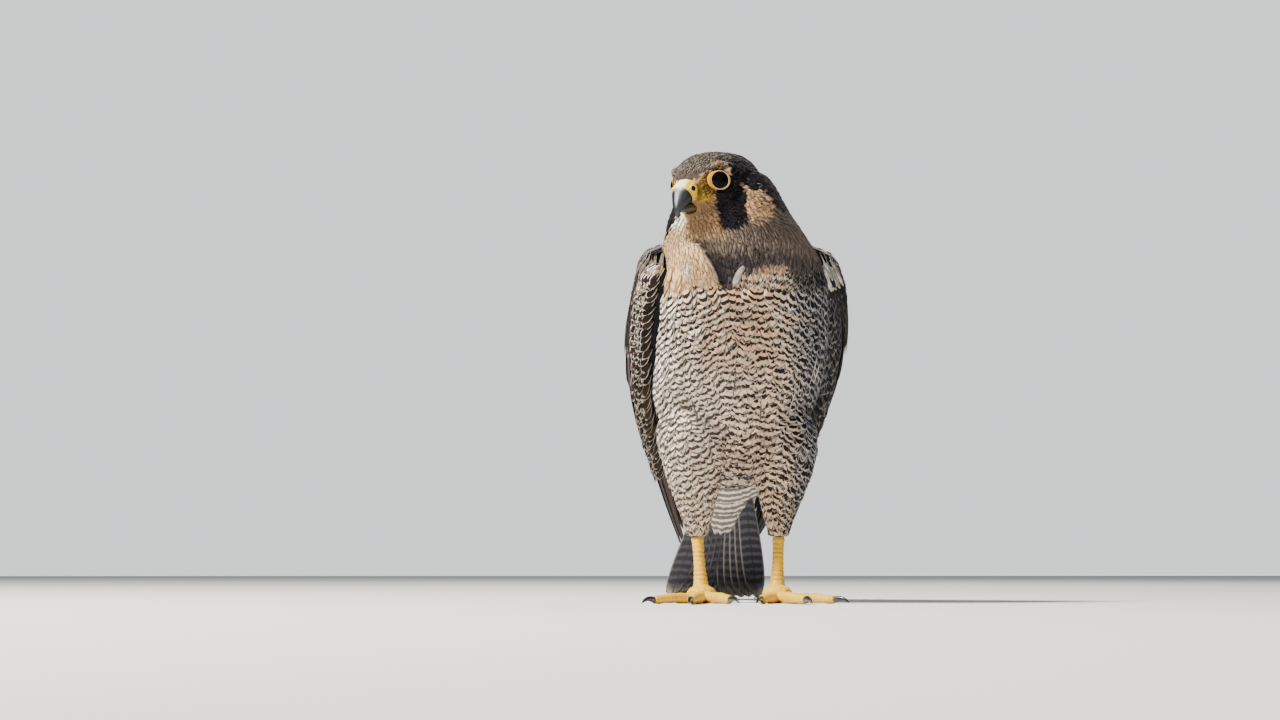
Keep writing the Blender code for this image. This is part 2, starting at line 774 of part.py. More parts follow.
def tail_vane(side, rank):
    """One tail feather, the middle pair on top and the outer pair lowest."""
    slope = math.radians(TAIL_SLOPE)
    ahead = Vector((0, math.cos(slope), -math.sin(slope)))
    up = Vector((0, math.sin(slope), math.cos(slope)))
    splay = math.radians(1.1 + 1.55 * rank) * side
    along = (ahead * math.cos(splay) + Vector((1, 0, 0)) * math.sin(splay)).normalized()
    length = TAIL_LENGTH - 1.0 * rank
    start = Vector(TAIL_ROOT) + Vector((side * (1.2 + 2.1 * rank), 0, 0))
    start -= up * (0.82 * rank + (0.41 if side < 0 else 0))
    lean = math.radians(4) * side
    across = Vector((1, 0, 0)) * math.cos(splay) - ahead * math.sin(splay)
    across = across * math.cos(lean) - up * math.sin(lean)
    normal = along.cross(across).normalized()
    if normal.dot(up) < 0:
        normal = -normal
    steps = (0.0, 0.3, 0.72, 0.92, 1.0)
    shares = (0.55, 0.86, 1.0, 0.82, 0.34)
    frames = [(start + along * length * s, across, normal) for s in steps]
    halves = [RECTRIX_WIDTH / 2 * share for share in shares]
    return vane("rectrix", frames, halves, [RECTRIX_THICK * (1.3 - 0.3 * s) for s in steps])


def tail_covert(row, index):
    """One covert, rooted in the tail's root and lying along the tail."""
    count, length, width, height, spread = COVERT_ROWS[row]
    slope = math.radians(TAIL_SLOPE)
    ahead = Vector((0, math.cos(slope), -math.sin(slope)))
    up = Vector((0, math.sin(slope), math.cos(slope)))
    k = 2 * index / (count - 1) - 1
    side = math.copysign(1.0, height)
    edge = Vector((spread / 2 * k, 0, 0))
    root = Vector(TAIL_ROOT) + edge * 0.62 + up * (height - side * 2.2 * k * k) * (1.35 if height > 10 else 0.9)
    root += ahead * (-6 if abs(height) > 10 else 8) - up * side * 4
    tip = root + ahead * length * (1 - 0.16 * k * k) + edge * 0.35
    tip += up * side * (2.6 - abs(height) * 0.45 - 1.2 * k * k)
    lean = math.radians(13) * k * side
    across = Vector((math.cos(lean), 0, 0)) - up * math.sin(lean)
    along = (tip - root).normalized()
    across = (across - along * across.dot(along)).normalized()
    normal = along.cross(across)
    steps, shares = (0.0, 0.4, 0.8, 1.0), (0.7, 1.0, 0.85, 0.25)
    frames = [(root + (tip - root) * s, across, normal) for s in steps]
    return vane("covert", frames, [width / 2 * share for share in shares], [VANE_THICK] * len(steps))


def make_tail(block):
    """The tail: its root with twelve long feathers in a closed fan and the coverts over and under them."""
    vanes = [tail_vane(side, rank) for rank in range(TAIL_PAIRS) for side in (1, -1)]
    vanes += [tail_covert(row, i) for row in range(len(COVERT_ROWS)) for i in range(COVERT_ROWS[row][0])]
    tail = combined(block, vanes, "UNION")
    tail.name = "tail"
    sliced(tail, (0, 0, 0), (0, 0, -1))
    keep_largest(tail)
    return tail


def make_thigh(side, body, others):
    """One feathered thigh, cut clear of the belly."""
    rings = [
        oval((x * side, y, z), Vector((1, 0, 0)), Vector((0, 1, 0)), wide, deep, deep, 18, 2.1)
        for x, y, z, wide, deep in THIGH
    ]
    thigh = loft("thigh_left" if side > 0 else "thigh_right", rings)
    return carved(thigh, body, *others)


def toe_direction(toe, side):
    """The level direction of a toe."""
    turn = math.radians(toe.turn)
    return Vector((-side * math.sin(turn), -math.cos(turn), 0))


def on_toe(toe, side, s):
    """A place on a toe's middle line, which is arched a little above the floor."""
    height = toe.radius - 0.7 + 0.9 * math.sin(math.pi * min(max(s, 0.0) * 1.15, 1.0)) - 0.35 * s
    level = toe_direction(toe, side) * (TOE_START + toe.length * s)
    return Vector((PAD_AT[0] * side, PAD_AT[1], height)) + level


def make_toe(toe, side, name):
    """One toe, swelling at each of its pads and flat where it stands on the floor."""
    ahead = toe_direction(toe, side)
    points = [on_toe(toe, side, s) for s, swell in TOE_SWELLS]
    radii = [(toe.radius + (toe.tip_radius - toe.radius) * s) * swell for s, swell in TOE_SWELLS]
    thing = tube(name, points, radii, TOE_SIDES)
    sliced(thing, on_toe(toe, side, 0) * MM, -ahead)
    sliced(thing, on_toe(toe, side, 1) * MM, ahead)
    sliced(thing, (0, 0, 0), (0, 0, -1))
    return thing


def make_claw(toe, side, name):
    """One curved claw, which ends just above the floor."""
    ahead = toe_direction(toe, side)
    points, radii = [], []
    root = on_toe(toe, side, 1)
    for i in range(CLAW_RINGS):
        s = i / (CLAW_RINGS - 1)
        run = toe.claw * math.sin(s * CLAW_BEND) / math.sin(CLAW_BEND) - CLAW_SUNK
        rise = CLAW_RISE * math.sin(math.pi * min(s * 1.35, 1.0)) - (root.z - CLAW_TIP_HEIGHT) * s ** 2.1
        points.append(root + ahead * run + Vector((0, 0, rise)))
        radii.append(max(toe.tip_radius * 0.74 * (1 - s) ** 0.8, CLAW_TIP_RADIUS))
    claw = tube(name, points, radii, 7)
    sliced(claw, root * MM + ahead * GAP, -ahead)
    return claw


def make_foot(side, name):
    """The bare lower leg and the pad that carries the toes."""
    rings = [
        oval((x * side, y, z), Vector((1, 0, 0)), Vector((0, 1, 0)), wide, deep, deep, 12)
        for x, y, z, wide, deep in TARSUS
    ]
    leg = loft(name, rings)
    middle = (PAD_AT[0] * side, PAD_AT[1], PAD_AT[2])
    pieces = [ball("pad", middle, PAD_SIZE, None, 12, 7)]
    for toe in TOES:
        ahead = toe_direction(toe, side)
        root = on_toe(toe, side, 0)
        stub = tube("stub", [root - ahead * 13 + Vector((0, 0, 1.2)), root + ahead], (toe.radius * 1.12, toe.radius), 10)
        sliced(stub, root * MM - ahead * GAP, ahead)
        pieces.append(stub)
    combined(leg, pieces, "UNION")
    sliced(leg, (0, 0, 0), (0, 0, -1))
    return leg


def dress(thing, finish):
    """Gives a finished piece its material and smooth shading, and parents it to the bird."""
    thing.data.materials.clear()
    thing.data.materials.append(material(finish))
    thing.data.shade_smooth()
    thing.data.set_sharp_from_angle(angle=math.radians(38))


def set_down(things):
    """Parents the pieces to one empty, which brings the middle of the bird over the origin."""
    bird = bpy.data.collections.new("peregrine_falcon")
    bpy.context.scene.collection.children.link(bird)
    root = bpy.data.objects.new("peregrine_falcon_root", None)
    bird.objects.link(root)
    root.location = (-CENTRE_X, -CENTRE_Y, 0)
    for thing in things:
        bpy.context.scene.collection.objects.unlink(thing)
        bird.objects.link(thing)
        middle = sum((vert.co for vert in thing.data.vertices), Vector()) / len(thing.data.vertices)
        thing.data.transform(Matrix.Translation(-middle))
        thing.location = middle
        thing.parent = root


def main():
    """Builds the bird from its trunk outward."""
    clear_scene()
    whole = combined(trunk_form(), [skull_form(), throat_form()], "UNION")
    body = copied(whole, "body")

    cere = make_cere()
    upper, lower = make_bill(cere)
    head = make_head(whole)
    for piece in (cere, upper, lower):
        carved(head, piece)
    combined(head, [mouth_cutter(), eyeball(1, GAP / MM), eyeball(-1, GAP / MM)], "DIFFERENCE")
    eyes = []
    for side, name in ((1, "eye_left"), (-1, "eye_right")):
        eye = eyeball(side)
        eye.name = name
        eyes.append(eye)

    neck_point, neck_normal = (Vector(value) for value in NECK_CUT)
    torso_point, torso_normal = (Vector(value) for value in TORSO_CUT)
    tail_point, tail_normal = (Vector(value) for value in TAIL_CUT)
    neck_normal.normalize()
    torso_normal.normalize()
    tail_normal.normalize()
    neck = copied(whole, "neck")
    sliced(neck, neck_point * MM - neck_normal * GAP / 2, neck_normal)
    sliced(neck, torso_point * MM + torso_normal * GAP / 2, -torso_normal)
    torso = copied(whole, "torso")
    sliced(torso, torso_point * MM - torso_normal * GAP / 2, torso_normal)
    sliced(torso, tail_point * MM - tail_normal * GAP / 2, tail_normal)
    block = copied(whole, "tail")
    sliced(block, tail_point * MM + tail_normal * GAP / 2, -tail_normal)
    bpy.data.objects.remove(whole, do_unlink=True)

    tail = make_tail(block)
    wings = [make_wing(side, body) for side in (1, -1)]
    thighs = [make_thigh(side, body, [wing]) for side, wing in zip((1, -1), wings)]

    feet, toes, claws = [], [], []
    for side, hand in ((1, "left"), (-1, "right")):
        foot = make_foot(side, "foot_" + hand)
        feet.append(foot)
        for toe in TOES:
            toes.append(make_toe(toe, side, f"toe_{toe.name}_{hand}"))
            claws.append(make_claw(toe, side, f"claw_{toe.name}_{hand}"))
    for thigh, foot in zip(thighs, feet):
        carved(thigh, foot)
    bpy.data.objects.remove(body, do_unlink=True)

    finishes = (
        ("crown", [head]),
        ("breast", [neck, torso, *thighs]),
        ("slate", [tail, *wings]),
        ("yellow", [cere, *feet, *toes]),
        ("bill", [upper, lower]),
        ("eye", eyes),
        ("claw", claws),
    )
    made = []
    for finish, things in finishes:
        for thing in things:
            dress(thing, finish)
            made.append(thing)
    set_down(made)


main()
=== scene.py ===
"""Looks of a life-size peregrine falcon model: skin, feathers, bill, eyes, feet, floor, light and camera.

The tables are in millimetres in the bird's own frame: it faces -Y and its left side is at +X. The
function metres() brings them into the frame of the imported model.
"""
import logging
import math
from dataclasses import dataclass, field
from enum import Enum

import bmesh
import bpy
import numpy as np
from mathutils import Matrix, Vector
from mathutils.bvhtree import BVHTree


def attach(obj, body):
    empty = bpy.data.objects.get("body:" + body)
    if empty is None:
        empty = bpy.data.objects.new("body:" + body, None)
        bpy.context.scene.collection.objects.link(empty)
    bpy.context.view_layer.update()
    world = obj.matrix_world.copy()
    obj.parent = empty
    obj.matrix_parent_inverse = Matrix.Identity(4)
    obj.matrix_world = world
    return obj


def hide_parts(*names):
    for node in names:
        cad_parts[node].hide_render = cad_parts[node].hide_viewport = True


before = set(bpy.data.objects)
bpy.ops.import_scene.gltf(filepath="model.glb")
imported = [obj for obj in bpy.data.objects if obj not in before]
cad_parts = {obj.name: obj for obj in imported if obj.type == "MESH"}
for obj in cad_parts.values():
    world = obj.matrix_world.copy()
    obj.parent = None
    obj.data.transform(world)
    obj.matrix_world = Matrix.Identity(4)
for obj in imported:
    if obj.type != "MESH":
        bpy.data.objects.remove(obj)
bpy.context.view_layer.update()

LOG = logging.getLogger("falcon")
MM = 0.001
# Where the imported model's origin lies on the bird's own y axis, in millimetres.
CENTRE_Y = 75.4
SEED = 20
BODY = "root"


class Side(Enum):
    """The bird's own sides."""

    LEFT = 1
    RIGHT = -1

    @property
    def word(self) -> str:
        """The side's name as the nodes have it."""
        return self.name.lower()


def metres(points: np.ndarray) -> np.ndarray:
    """Millimetres of the bird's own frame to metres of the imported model's.

    Args:
        points: an array whose last axis is x, y, z.

    Returns:
        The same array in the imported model's frame.
    """
    return (np.asarray(points, float) - (0, CENTRE_Y, 0)) * MM


def millimetres(points: np.ndarray) -> np.ndarray:
    """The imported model's metres to millimetres of the bird's own frame."""
    return np.asarray(points, float) / MM + (0, CENTRE_Y, 0)


def ease(value: np.ndarray, start: float, end: float) -> np.ndarray:
    """A smooth step from 0 at start to 1 at end.

    Args:
        value: where to read the step.
        start: the value at which the step begins.
        end: the value at which it is whole, which may be below start.

    Returns:
        The step's height at each value.
    """
    t = np.clip((np.asarray(value, float) - start) / (end - start), 0, 1)
    return t * t * (3 - 2 * t)


def unit(vectors: np.ndarray) -> np.ndarray:
    """Vectors of the last axis brought to length 1."""
    length = np.linalg.norm(vectors, axis=-1, keepdims=True)
    return vectors / np.maximum(length, 1e-9)


def curve_row(rows: tuple, t: float) -> tuple:
    """The row at t, from 0 to 1, on a Catmull-Rom curve through evenly spaced rows.

    Args:
        rows: the rows of numbers that the curve passes through.
        t: the place along the curve.

    Returns:
        The row there.
    """
    spans = len(rows) - 1
    place = min(max(t, 0.0), 1.0) * spans
    i = min(int(place), spans - 1)
    s = place - i
    p1, p2 = rows[i], rows[i + 1]
    p0 = rows[i - 1] if i else tuple(2 * a - b for a, b in zip(p1, p2))
    p3 = rows[i + 2] if i + 2 <= spans else tuple(2 * b - a for a, b in zip(p1, p2))
    return tuple(
        0.5 * (2 * b + (c - a) * s + (2 * a - 5 * b + 4 * c - d) * s ** 2 + (3 * b - a - 3 * c + d) * s ** 3)
        for a, b, c, d in zip(p0, p1, p2, p3)
    )


def linear(red: int, green: int, blue: int) -> tuple:
    """A screen colour from 0 to 255 as linear light."""
    shares = (value / 255 for value in (red, green, blue))
    return tuple(s / 12.92 if s <= 0.04045 else ((s + 0.055) / 1.055) ** 2.4 for s in shares)


# Shader tools.


class Nodes:
    """Adds nodes to a tree and joins them."""

    def __init__(self, tree: bpy.types.NodeTree) -> None:
        """Takes the tree that the nodes go into."""
        self.tree = tree

    def add(self, kind: str, links: dict | None = None, **settings: object) -> bpy.types.Node:
        """Adds one node.

        Args:
            kind: the node's type name without its ShaderNode prefix, or a whole type name.
            links: input name or number to an output socket or a plain value.
            settings: properties of the node.

        Returns:
            The new node.
        """
        whole = kind if kind.startswith("NodeGroup") else "ShaderNode" + kind
        node = self.tree.nodes.new(whole)
        for name, value in settings.items():
            setattr(node, name, value)
        for key, value in (links or {}).items():
            socket = node.inputs[key]
            if isinstance(value, bpy.types.NodeSocket):
                self.tree.links.new(value, socket)
            else:
                socket.default_value = value
        return node

    def math(self, operation: str, *values: object, clamp: bool = False) -> bpy.types.NodeSocket:
        """The result of a Math node on sockets or numbers."""
        return self.add("Math", dict(enumerate(values)), operation=operation, use_clamp=clamp).outputs[0]

    def times(self, first: object, second: object, clamp: bool = False) -> bpy.types.NodeSocket:
        """The product of two sockets or numbers."""
        return self.math("MULTIPLY", first, second, clamp=clamp)

    def plus(self, first: object, second: object) -> bpy.types.NodeSocket:
        """The sum of two sockets or numbers."""
        return self.math("ADD", first, second)

    def minus(self, first: object, second: object) -> bpy.types.NodeSocket:
        """The difference of two sockets or numbers."""
        return self.math("SUBTRACT", first, second)

    def step(self, value: bpy.types.NodeSocket, start: object, end: float) -> bpy.types.NodeSocket:
        """A smooth step of a value from 0 at start to 1 at end."""
        links = {"Value": value, "From Min": start, "From Max": end}
        return self.add("MapRange", links, interpolation_type="SMOOTHSTEP").outputs["Result"]

    def mix(self, share: object, first: object, second: object, blend: str = "MIX") -> bpy.types.NodeSocket:
        """A mixture of two colours, each a socket or a tuple."""
        first, second = ((*value, 1.0) if isinstance(value, tuple) else value for value in (first, second))
        links = {0: share, 6: first, 7: second}
        return self.add("Mix", links, data_type="RGBA", blend_type=blend).outputs[2]

    def shaded(self, colour: object, pattern: object, contrast: object) -> bpy.types.NodeSocket:
        """A colour made lighter and darker by a pattern that lies about one half."""
        light = self.math("MULTIPLY_ADD", self.minus(pattern, 0.5), contrast, 1.0)
        grey = self.add("CombineColor", dict.fromkeys(range(3), light)).outputs[0]
        return self.mix(1.0, colour, grey, "MULTIPLY")

    def attribute(self, name: str) -> bpy.types.Node:
        """The node that reads a mesh attribute."""
        return self.add("Attribute", None, attribute_name=name, attribute_type="GEOMETRY")

    def link(self, value: bpy.types.NodeSocket, node: bpy.types.Node, name: str) -> None:
        """Joins a socket to an input of a node."""
        self.tree.links.new(value, node.inputs[name])


def new_group(name: str, inputs: dict, outputs: dict) -> tuple[Nodes, bpy.types.Node, bpy.types.Node]:
    """A node group with named sockets.

    Args:
        name: the group's name.
        inputs: socket name to its default, a number or a colour.
        outputs: socket name to Color, Float or Vector.

    Returns:
        The group's node maker, its input node and its output node.
    """
    tree = bpy.data.node_groups.new(name, "ShaderNodeTree")
    for key, value in inputs.items():
        coloured = isinstance(value, tuple)
        kind = "NodeSocketColor" if coloured else "NodeSocketFloat"
        socket = tree.interface.new_socket(key, in_out="INPUT", socket_type=kind)
        socket.default_value = (*value, 1.0) if coloured else value
    for key, kind in outputs.items():
        tree.interface.new_socket(key, in_out="OUTPUT", socket_type="NodeSocket" + kind)
    nodes = Nodes(tree)
    return nodes, nodes.add("NodeGroupInput"), nodes.add("NodeGroupOutput")


class Groups:
    """The node groups that several finishes share."""

    def __init__(self) -> None:
        """Builds each group once."""
        self.vane = self.vane_pattern()
        self.grain = self.fine_grain()

    @staticmethod
    def vane_pattern() -> bpy.types.NodeTree:
        """Bars, pale fringes, shaft and barbs of a feather, from the attributes of its mesh.

        Returns:
            The group, whose outputs are a colour and a height.
        """
        inputs = {
            "Warm Bar": (0.06, 0.035, 0.025), "Cool Bar": (0.02, 0.02, 0.024), "Fringe": (0.7, 0.62, 0.5),
            "Bar Share": 0.42, "Shaft": 0.3, "Barb Count": 26.0, "Barb Contrast": 0.22, "Fringe Start": 0.74,
            "Hair": 0.0,
        }
        nodes, given, out = new_group("feather_vane", inputs, {"Color": "Color", "Height": "Float"})
        put = given.outputs
        lay = nodes.attribute("lay").outputs["Vector"]
        along, across, chance = nodes.add("SeparateXYZ", {0: lay}).outputs[:3]
        mark = nodes.attribute("mark").outputs
        phase, strength, fringe = nodes.add("SeparateColor", {0: mark["Color"]}).outputs[:3]
        cool = mark["Alpha"]
        tone = nodes.attribute("tone").outputs["Color"]
        side = nodes.math("ABSOLUTE", across)

        hair = nodes.times(put["Barb Count"], put["Hair"])
        count = nodes.minus(put["Barb Count"], nodes.times(hair, 0.9))
        barb_place = nodes.add("CombineXYZ", {
            0: nodes.times(nodes.minus(along, nodes.times(side, 0.32)), count),
            1: nodes.times(across, nodes.math("MULTIPLY_ADD", hair, 0.35, 1.3)),
            2: nodes.times(chance, 57.0),
        }).outputs[0]
        barbs = nodes.add("TexNoise", {"Vector": barb_place, "Scale": 1.0, "Detail": 2.0}).outputs[0]
        place = nodes.add("TexCoord").outputs["Object"]
        ragged = nodes.add("TexNoise", {"Vector": place, "Scale": 420.0, "Detail": 3.0}).outputs[0]
        wander = nodes.times(nodes.minus(ragged, 0.5), 0.42)
        shifted = nodes.plus(phase, nodes.plus(wander, nodes.times(barbs, 0.10)))
        from_bar = nodes.math("ABSOLUTE", nodes.minus(nodes.math("FRACT", shifted), 0.5))
        wide = nodes.math("MULTIPLY_ADD", cool, 0.24, put["Bar Share"])
        near = nodes.minus(wide, nodes.times(from_bar, 2.0))
        bar = nodes.times(nodes.step(near, -0.08, 0.08), strength, clamp=True)

        edge = nodes.step(nodes.plus(side, nodes.times(barbs, 0.08)), put["Fringe Start"], 1.02)
        tip = nodes.step(nodes.plus(along, nodes.times(barbs, 0.06)), 0.91, 1.0)
        rim = nodes.times(nodes.math("MAXIMUM", edge, tip), fringe, clamp=True)
        shaft = nodes.step(side, 0.11, 0.03)

        bar_tone = nodes.mix(cool, put["Warm Bar"], put["Cool Bar"])
        barred = nodes.mix(bar, nodes.shaded(tone, barbs, put["Barb Contrast"]), bar_tone)
        rimmed = nodes.mix(rim, barred, put["Fringe"])
        nodes.link(nodes.mix(nodes.times(shaft, put["Shaft"]), rimmed, bar_tone), out, "Color")
        nodes.link(nodes.plus(nodes.times(barbs, 0.8), nodes.times(shaft, 0.7)), out, "Height")
        return nodes.tree

    @staticmethod
    def fine_grain() -> bpy.types.NodeTree:
        """Small unevenness for skin and horn.

        Returns:
            The group, whose outputs are a mask and a height.
        """
        outputs = {"Mask": "Float", "Height": "Float"}
        nodes, given, out = new_group("fine_grain", {"Size": 900.0, "Stretch": 1.0}, outputs)
        size, stretch = given.outputs["Size"], given.outputs["Stretch"]
        place = nodes.add("TexCoord").outputs["Object"]
        scale = nodes.add("CombineXYZ", {0: 1.0, 1: 1.0, 2: stretch}).outputs[0]
        moved = nodes.add("VectorMath", {0: place, 1: scale}, operation="MULTIPLY").outputs[0]
        noise = nodes.add("TexNoise", {"Vector": moved, "Scale": size, "Detail": 4.0}).outputs[0]
        cells = nodes.add("TexVoronoi", {"Vector": moved, "Scale": size}).outputs["Distance"]
        nodes.link(noise, out, "Mask")
        nodes.link(nodes.plus(noise, nodes.times(cells, 0.5)), out, "Height")
        return nodes.tree


def new_material(name: str) -> tuple[bpy.types.Material, bpy.types.Node]:
    """A new material and its shader."""
    made = bpy.data.materials.new(name)
    made.use_nodes = True
    return made, made.node_tree.nodes["Principled BSDF"]


class Finish:
    """What every finish has: its name, gloss and bumps."""

    name: str
    rough: float
    coat: float
    specular: float
    bump: float
    depth: float

    def paint(self, nodes: Nodes, groups: Groups) -> tuple:
        """The sockets of its colour and of its height."""
        raise NotImplementedError

    def material(self, groups: Groups) -> bpy.types.Material:
        """The finish as a material.

        Args:
            groups: the shared node groups.

        Returns:
            The new material.
        """
        made, shader = new_material(self.name)
        nodes = Nodes(made.node_tree)
        colour, height = self.paint(nodes, groups)
        bump = nodes.add("Bump", {"Height": height, "Strength": self.bump, "Distance": self.depth})
        nodes.link(colour, shader, "Base Color")
        nodes.link(bump.outputs[0], shader, "Normal")
        shader.inputs["Roughness"].default_value = self.rough
        shader.inputs["Coat Weight"].default_value = self.coat
        shader.inputs["Specular IOR Level"].default_value = self.specular
        return made


@dataclass(frozen=True)
class VaneFinish(Finish):
    """The finish of one coat of feathers."""

    name: str
    warm_bar: tuple
    cool_bar: tuple
    fringe: tuple
    bar_share: float = 0.42
    shaft: float = 0.25
    barbs: float = 26.0
    contrast: float = 0.24
    rough: float = 0.72
    coat: float = 0.0
    bump: float = 0.35
    depth: float = 0.0004
    specular: float = 0.15
    fringe_start: float = 0.74
    hair: float = 0.0

    def paint(self, nodes: Nodes, groups: Groups) -> tuple:
        """The sockets of its colour and of its height."""
        pattern = nodes.add("Group", {
            "Warm Bar": (*self.warm_bar, 1.0), "Cool Bar": (*self.cool_bar, 1.0),
            "Fringe": (*self.fringe, 1.0), "Bar Share": self.bar_share, "Shaft": self.shaft,
            "Barb Count": self.barbs, "Barb Contrast": self.contrast, "Fringe Start": self.fringe_start,
            "Hair": self.hair,
        }, node_tree=groups.vane).outputs
        return pattern["Color"], pattern["Height"]


@dataclass(frozen=True)
class TintFinish(Finish):
    """The finish of bare skin, horn or an eye: two colours mixed by a mesh attribute, with fine grain."""

    name: str
    first: tuple
    second: tuple
    rough: float = 0.5
    coat: float = 0.0
    grain: float = 900.0
    stretch: float = 1.0
    bump: float = 0.3
    uneven: float = 0.3
    specular: float = 0.5
    depth: float = 0.0003

    def paint(self, nodes: Nodes, groups: Groups) -> tuple:
        """The sockets of its colour and of its height."""
        links = {"Size": self.grain, "Stretch": self.stretch}
        grain = nodes.add("Group", links, node_tree=groups.grain).outputs
        colour = nodes.mix(nodes.attribute("tint").outputs["Fac"], self.first, self.second)
        return nodes.shaded(colour, grain["Mask"], self.uneven * 2), grain["Height"]


# Mesh tools.


def finish_piece(
    name: str, mesh: bpy.types.Mesh, material: bpy.types.Material, replaces: tuple = (),
    tint: np.ndarray | float | None = None,
) -> None:
    """Makes a finished mesh a piece of the bird.

    Args:
        name: the piece's name.
        mesh: its mesh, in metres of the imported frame.
        material: its material.
        replaces: the CAD nodes that it stands for.
        tint: the share of the material's second colour, one for all vertices or one for each.
    """
    if tint is not None:
        put_attribute(mesh, "tint", "FLOAT", np.broadcast_to(tint, len(mesh.vertices)))
    made = bpy.data.objects.new(name, mesh)
    bpy.context.scene.collection.objects.link(made)
    mesh.materials.clear()
    mesh.materials.append(material)
    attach(made, BODY)
    if replaces:
        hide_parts(*replaces)
    LOG.info("%s: %d faces", name, len(mesh.polygons))


def plain_mesh(bm: bmesh.types.BMesh, name: str) -> bpy.types.Mesh:
    """Turns a bmesh into a mesh as it is."""
    mesh = bpy.data.meshes.new(name)
    bm.to_mesh(mesh)
    bm.free()
    return mesh


def mesh_from(bm: bmesh.types.BMesh, name: str) -> bpy.types.Mesh:
    """Turns a bmesh in metres into a smooth mesh whose faces point outward."""
    bmesh.ops.recalc_face_normals(bm, faces=bm.faces)
    if bm.calc_volume(signed=True) < 0:
        bmesh.ops.reverse_faces(bm, faces=bm.faces)
    mesh = plain_mesh(bm, name)
    mesh.shade_smooth()
    return mesh


def points_of(mesh: bpy.types.Mesh) -> np.ndarray:
    """A mesh's vertices as an array."""
    flat = np.empty(len(mesh.vertices) * 3)
    mesh.vertices.foreach_get("co", flat)
    return flat.reshape(-1, 3)


def normals_of(mesh: bpy.types.Mesh) -> np.ndarray:
    """A mesh's vertex normals as an array."""
    flat = np.empty(len(mesh.vertices) * 3, np.float32)
    mesh.vertex_normals.foreach_get("vector", flat)
    return flat.reshape(-1, 3).astype(float)


def put_points(mesh: bpy.types.Mesh, points: np.ndarray) -> None:
    """Writes a mesh's vertices."""
    mesh.vertices.foreach_set("co", points.astype(np.float32).ravel())
    mesh.update()


def put_attribute(mesh: bpy.types.Mesh, name: str, kind: str, values: np.ndarray) -> None:
    """Writes a point attribute.

    Args:
        mesh: the mesh that carries it.
        name: its name.
        kind: FLOAT, FLOAT_VECTOR or FLOAT_COLOR.
        values: one row for each vertex.
    """
    layer = mesh.attributes.new(name, kind, "POINT")
    key = {"FLOAT": "value", "FLOAT_VECTOR": "vector", "FLOAT_COLOR": "color"}[kind]
    layer.data.foreach_set(key, np.ascontiguousarray(values, np.float32).ravel())


def modified(mesh: bpy.types.Mesh, *steps: tuple) -> bpy.types.Mesh:
    """A mesh as modifiers leave it.

    Args:
        mesh: the mesh before them.
        steps: the kind and the settings of each modifier.

    Returns:
        The new mesh.
    """
    holder = bpy.data.objects.new("holder", mesh)
    bpy.context.scene.collection.objects.link(holder)
    for kind, settings in steps:
        modifier = holder.modifiers.new(kind.lower(), kind)
        for key, value in settings.items():
            setattr(modifier, key, value)
    graph = bpy.context.evaluated_depsgraph_get()
    made = bpy.data.meshes.new_from_object(holder.evaluated_get(graph))
    bpy.data.objects.remove(holder, do_unlink=True)
    return made


def merged_nodes(names: tuple, voxel: float, smooth: int) -> bpy.types.Mesh:
    """One closed surface over copies of CAD nodes.

    Args:
        names: the nodes.
        voxel: the size of the new faces in metres.
        smooth: how many times the surface is smoothed.

    Returns:
        The new mesh.
    """
    bm = bmesh.new()
    for name in names:
        bm.from_mesh(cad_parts[name].data)
    bmesh.ops.remove_doubles(bm, verts=bm.verts, dist=1e-6)
    made = modified(
        plain_mesh(bm, "raw"), ("REMESH", {"mode": "VOXEL", "voxel_size": voxel}),
        ("SMOOTH", {"factor": 0.5, "iterations": smooth}))
    made.shade_smooth()
    return made


def swept(rings: list) -> bmesh.types.BMesh:
    """A closed form extruded from a circle, ring by ring.

    Args:
        rings: arrays of points in metres, all of one length.

    Returns:
        The form as a bmesh.
    """
    bm = bmesh.new()
    row = bmesh.ops.create_circle(bm, segments=len(rings[0]), radius=1.0, cap_ends=False)["verts"]
    for vert, point in zip(row, rings[0]):
        vert.co = point
    bmesh.ops.contextual_create(bm, geom=row)
    for ring in rings[1:]:
        edges = [edge for edge in bm.edges if edge.verts[0] in row and edge.verts[1] in row]
        geom = bmesh.ops.extrude_edge_only(bm, edges=edges)["geom"]
        fresh = [part for part in geom if isinstance(part, bmesh.types.BMVert)]
        row = [
            next(edge.other_vert(vert) for edge in vert.link_edges if edge.other_vert(vert) in fresh)
            for vert in row
        ]
        for vert, point in zip(row, ring):
            vert.co = point
    bmesh.ops.contextual_create(bm, geom=row)
    return bm


def ring_form(tube: float, sides: int, steps: int) -> bmesh.types.BMesh:
    """A ring of radius 1 about the z axis.

    Args:
        tube: the radius of its tube.
        sides: how many sides the tube has.
        steps: how many steps the ring has.

    Returns:
        The form as a bmesh.
    """
    bm = bmesh.new()
    made = bmesh.ops.create_circle(bm, segments=sides, radius=tube, cap_ends=False)
    for vert in made["verts"]:
        vert.co = Vector((1.0 + vert.co.x, 0, vert.co.y))
    bmesh.ops.spin(
        bm, geom=bm.verts[:] + bm.edges[:], cent=(0, 0, 0), axis=(0, 0, 1), angle=math.tau, steps=steps,
        use_merge=True)
    return bm


def facing(direction: Vector) -> Matrix:
    """The turn that brings the z axis to a direction."""
    return direction.to_track_quat("Z", "Y").to_matrix().to_4x4()


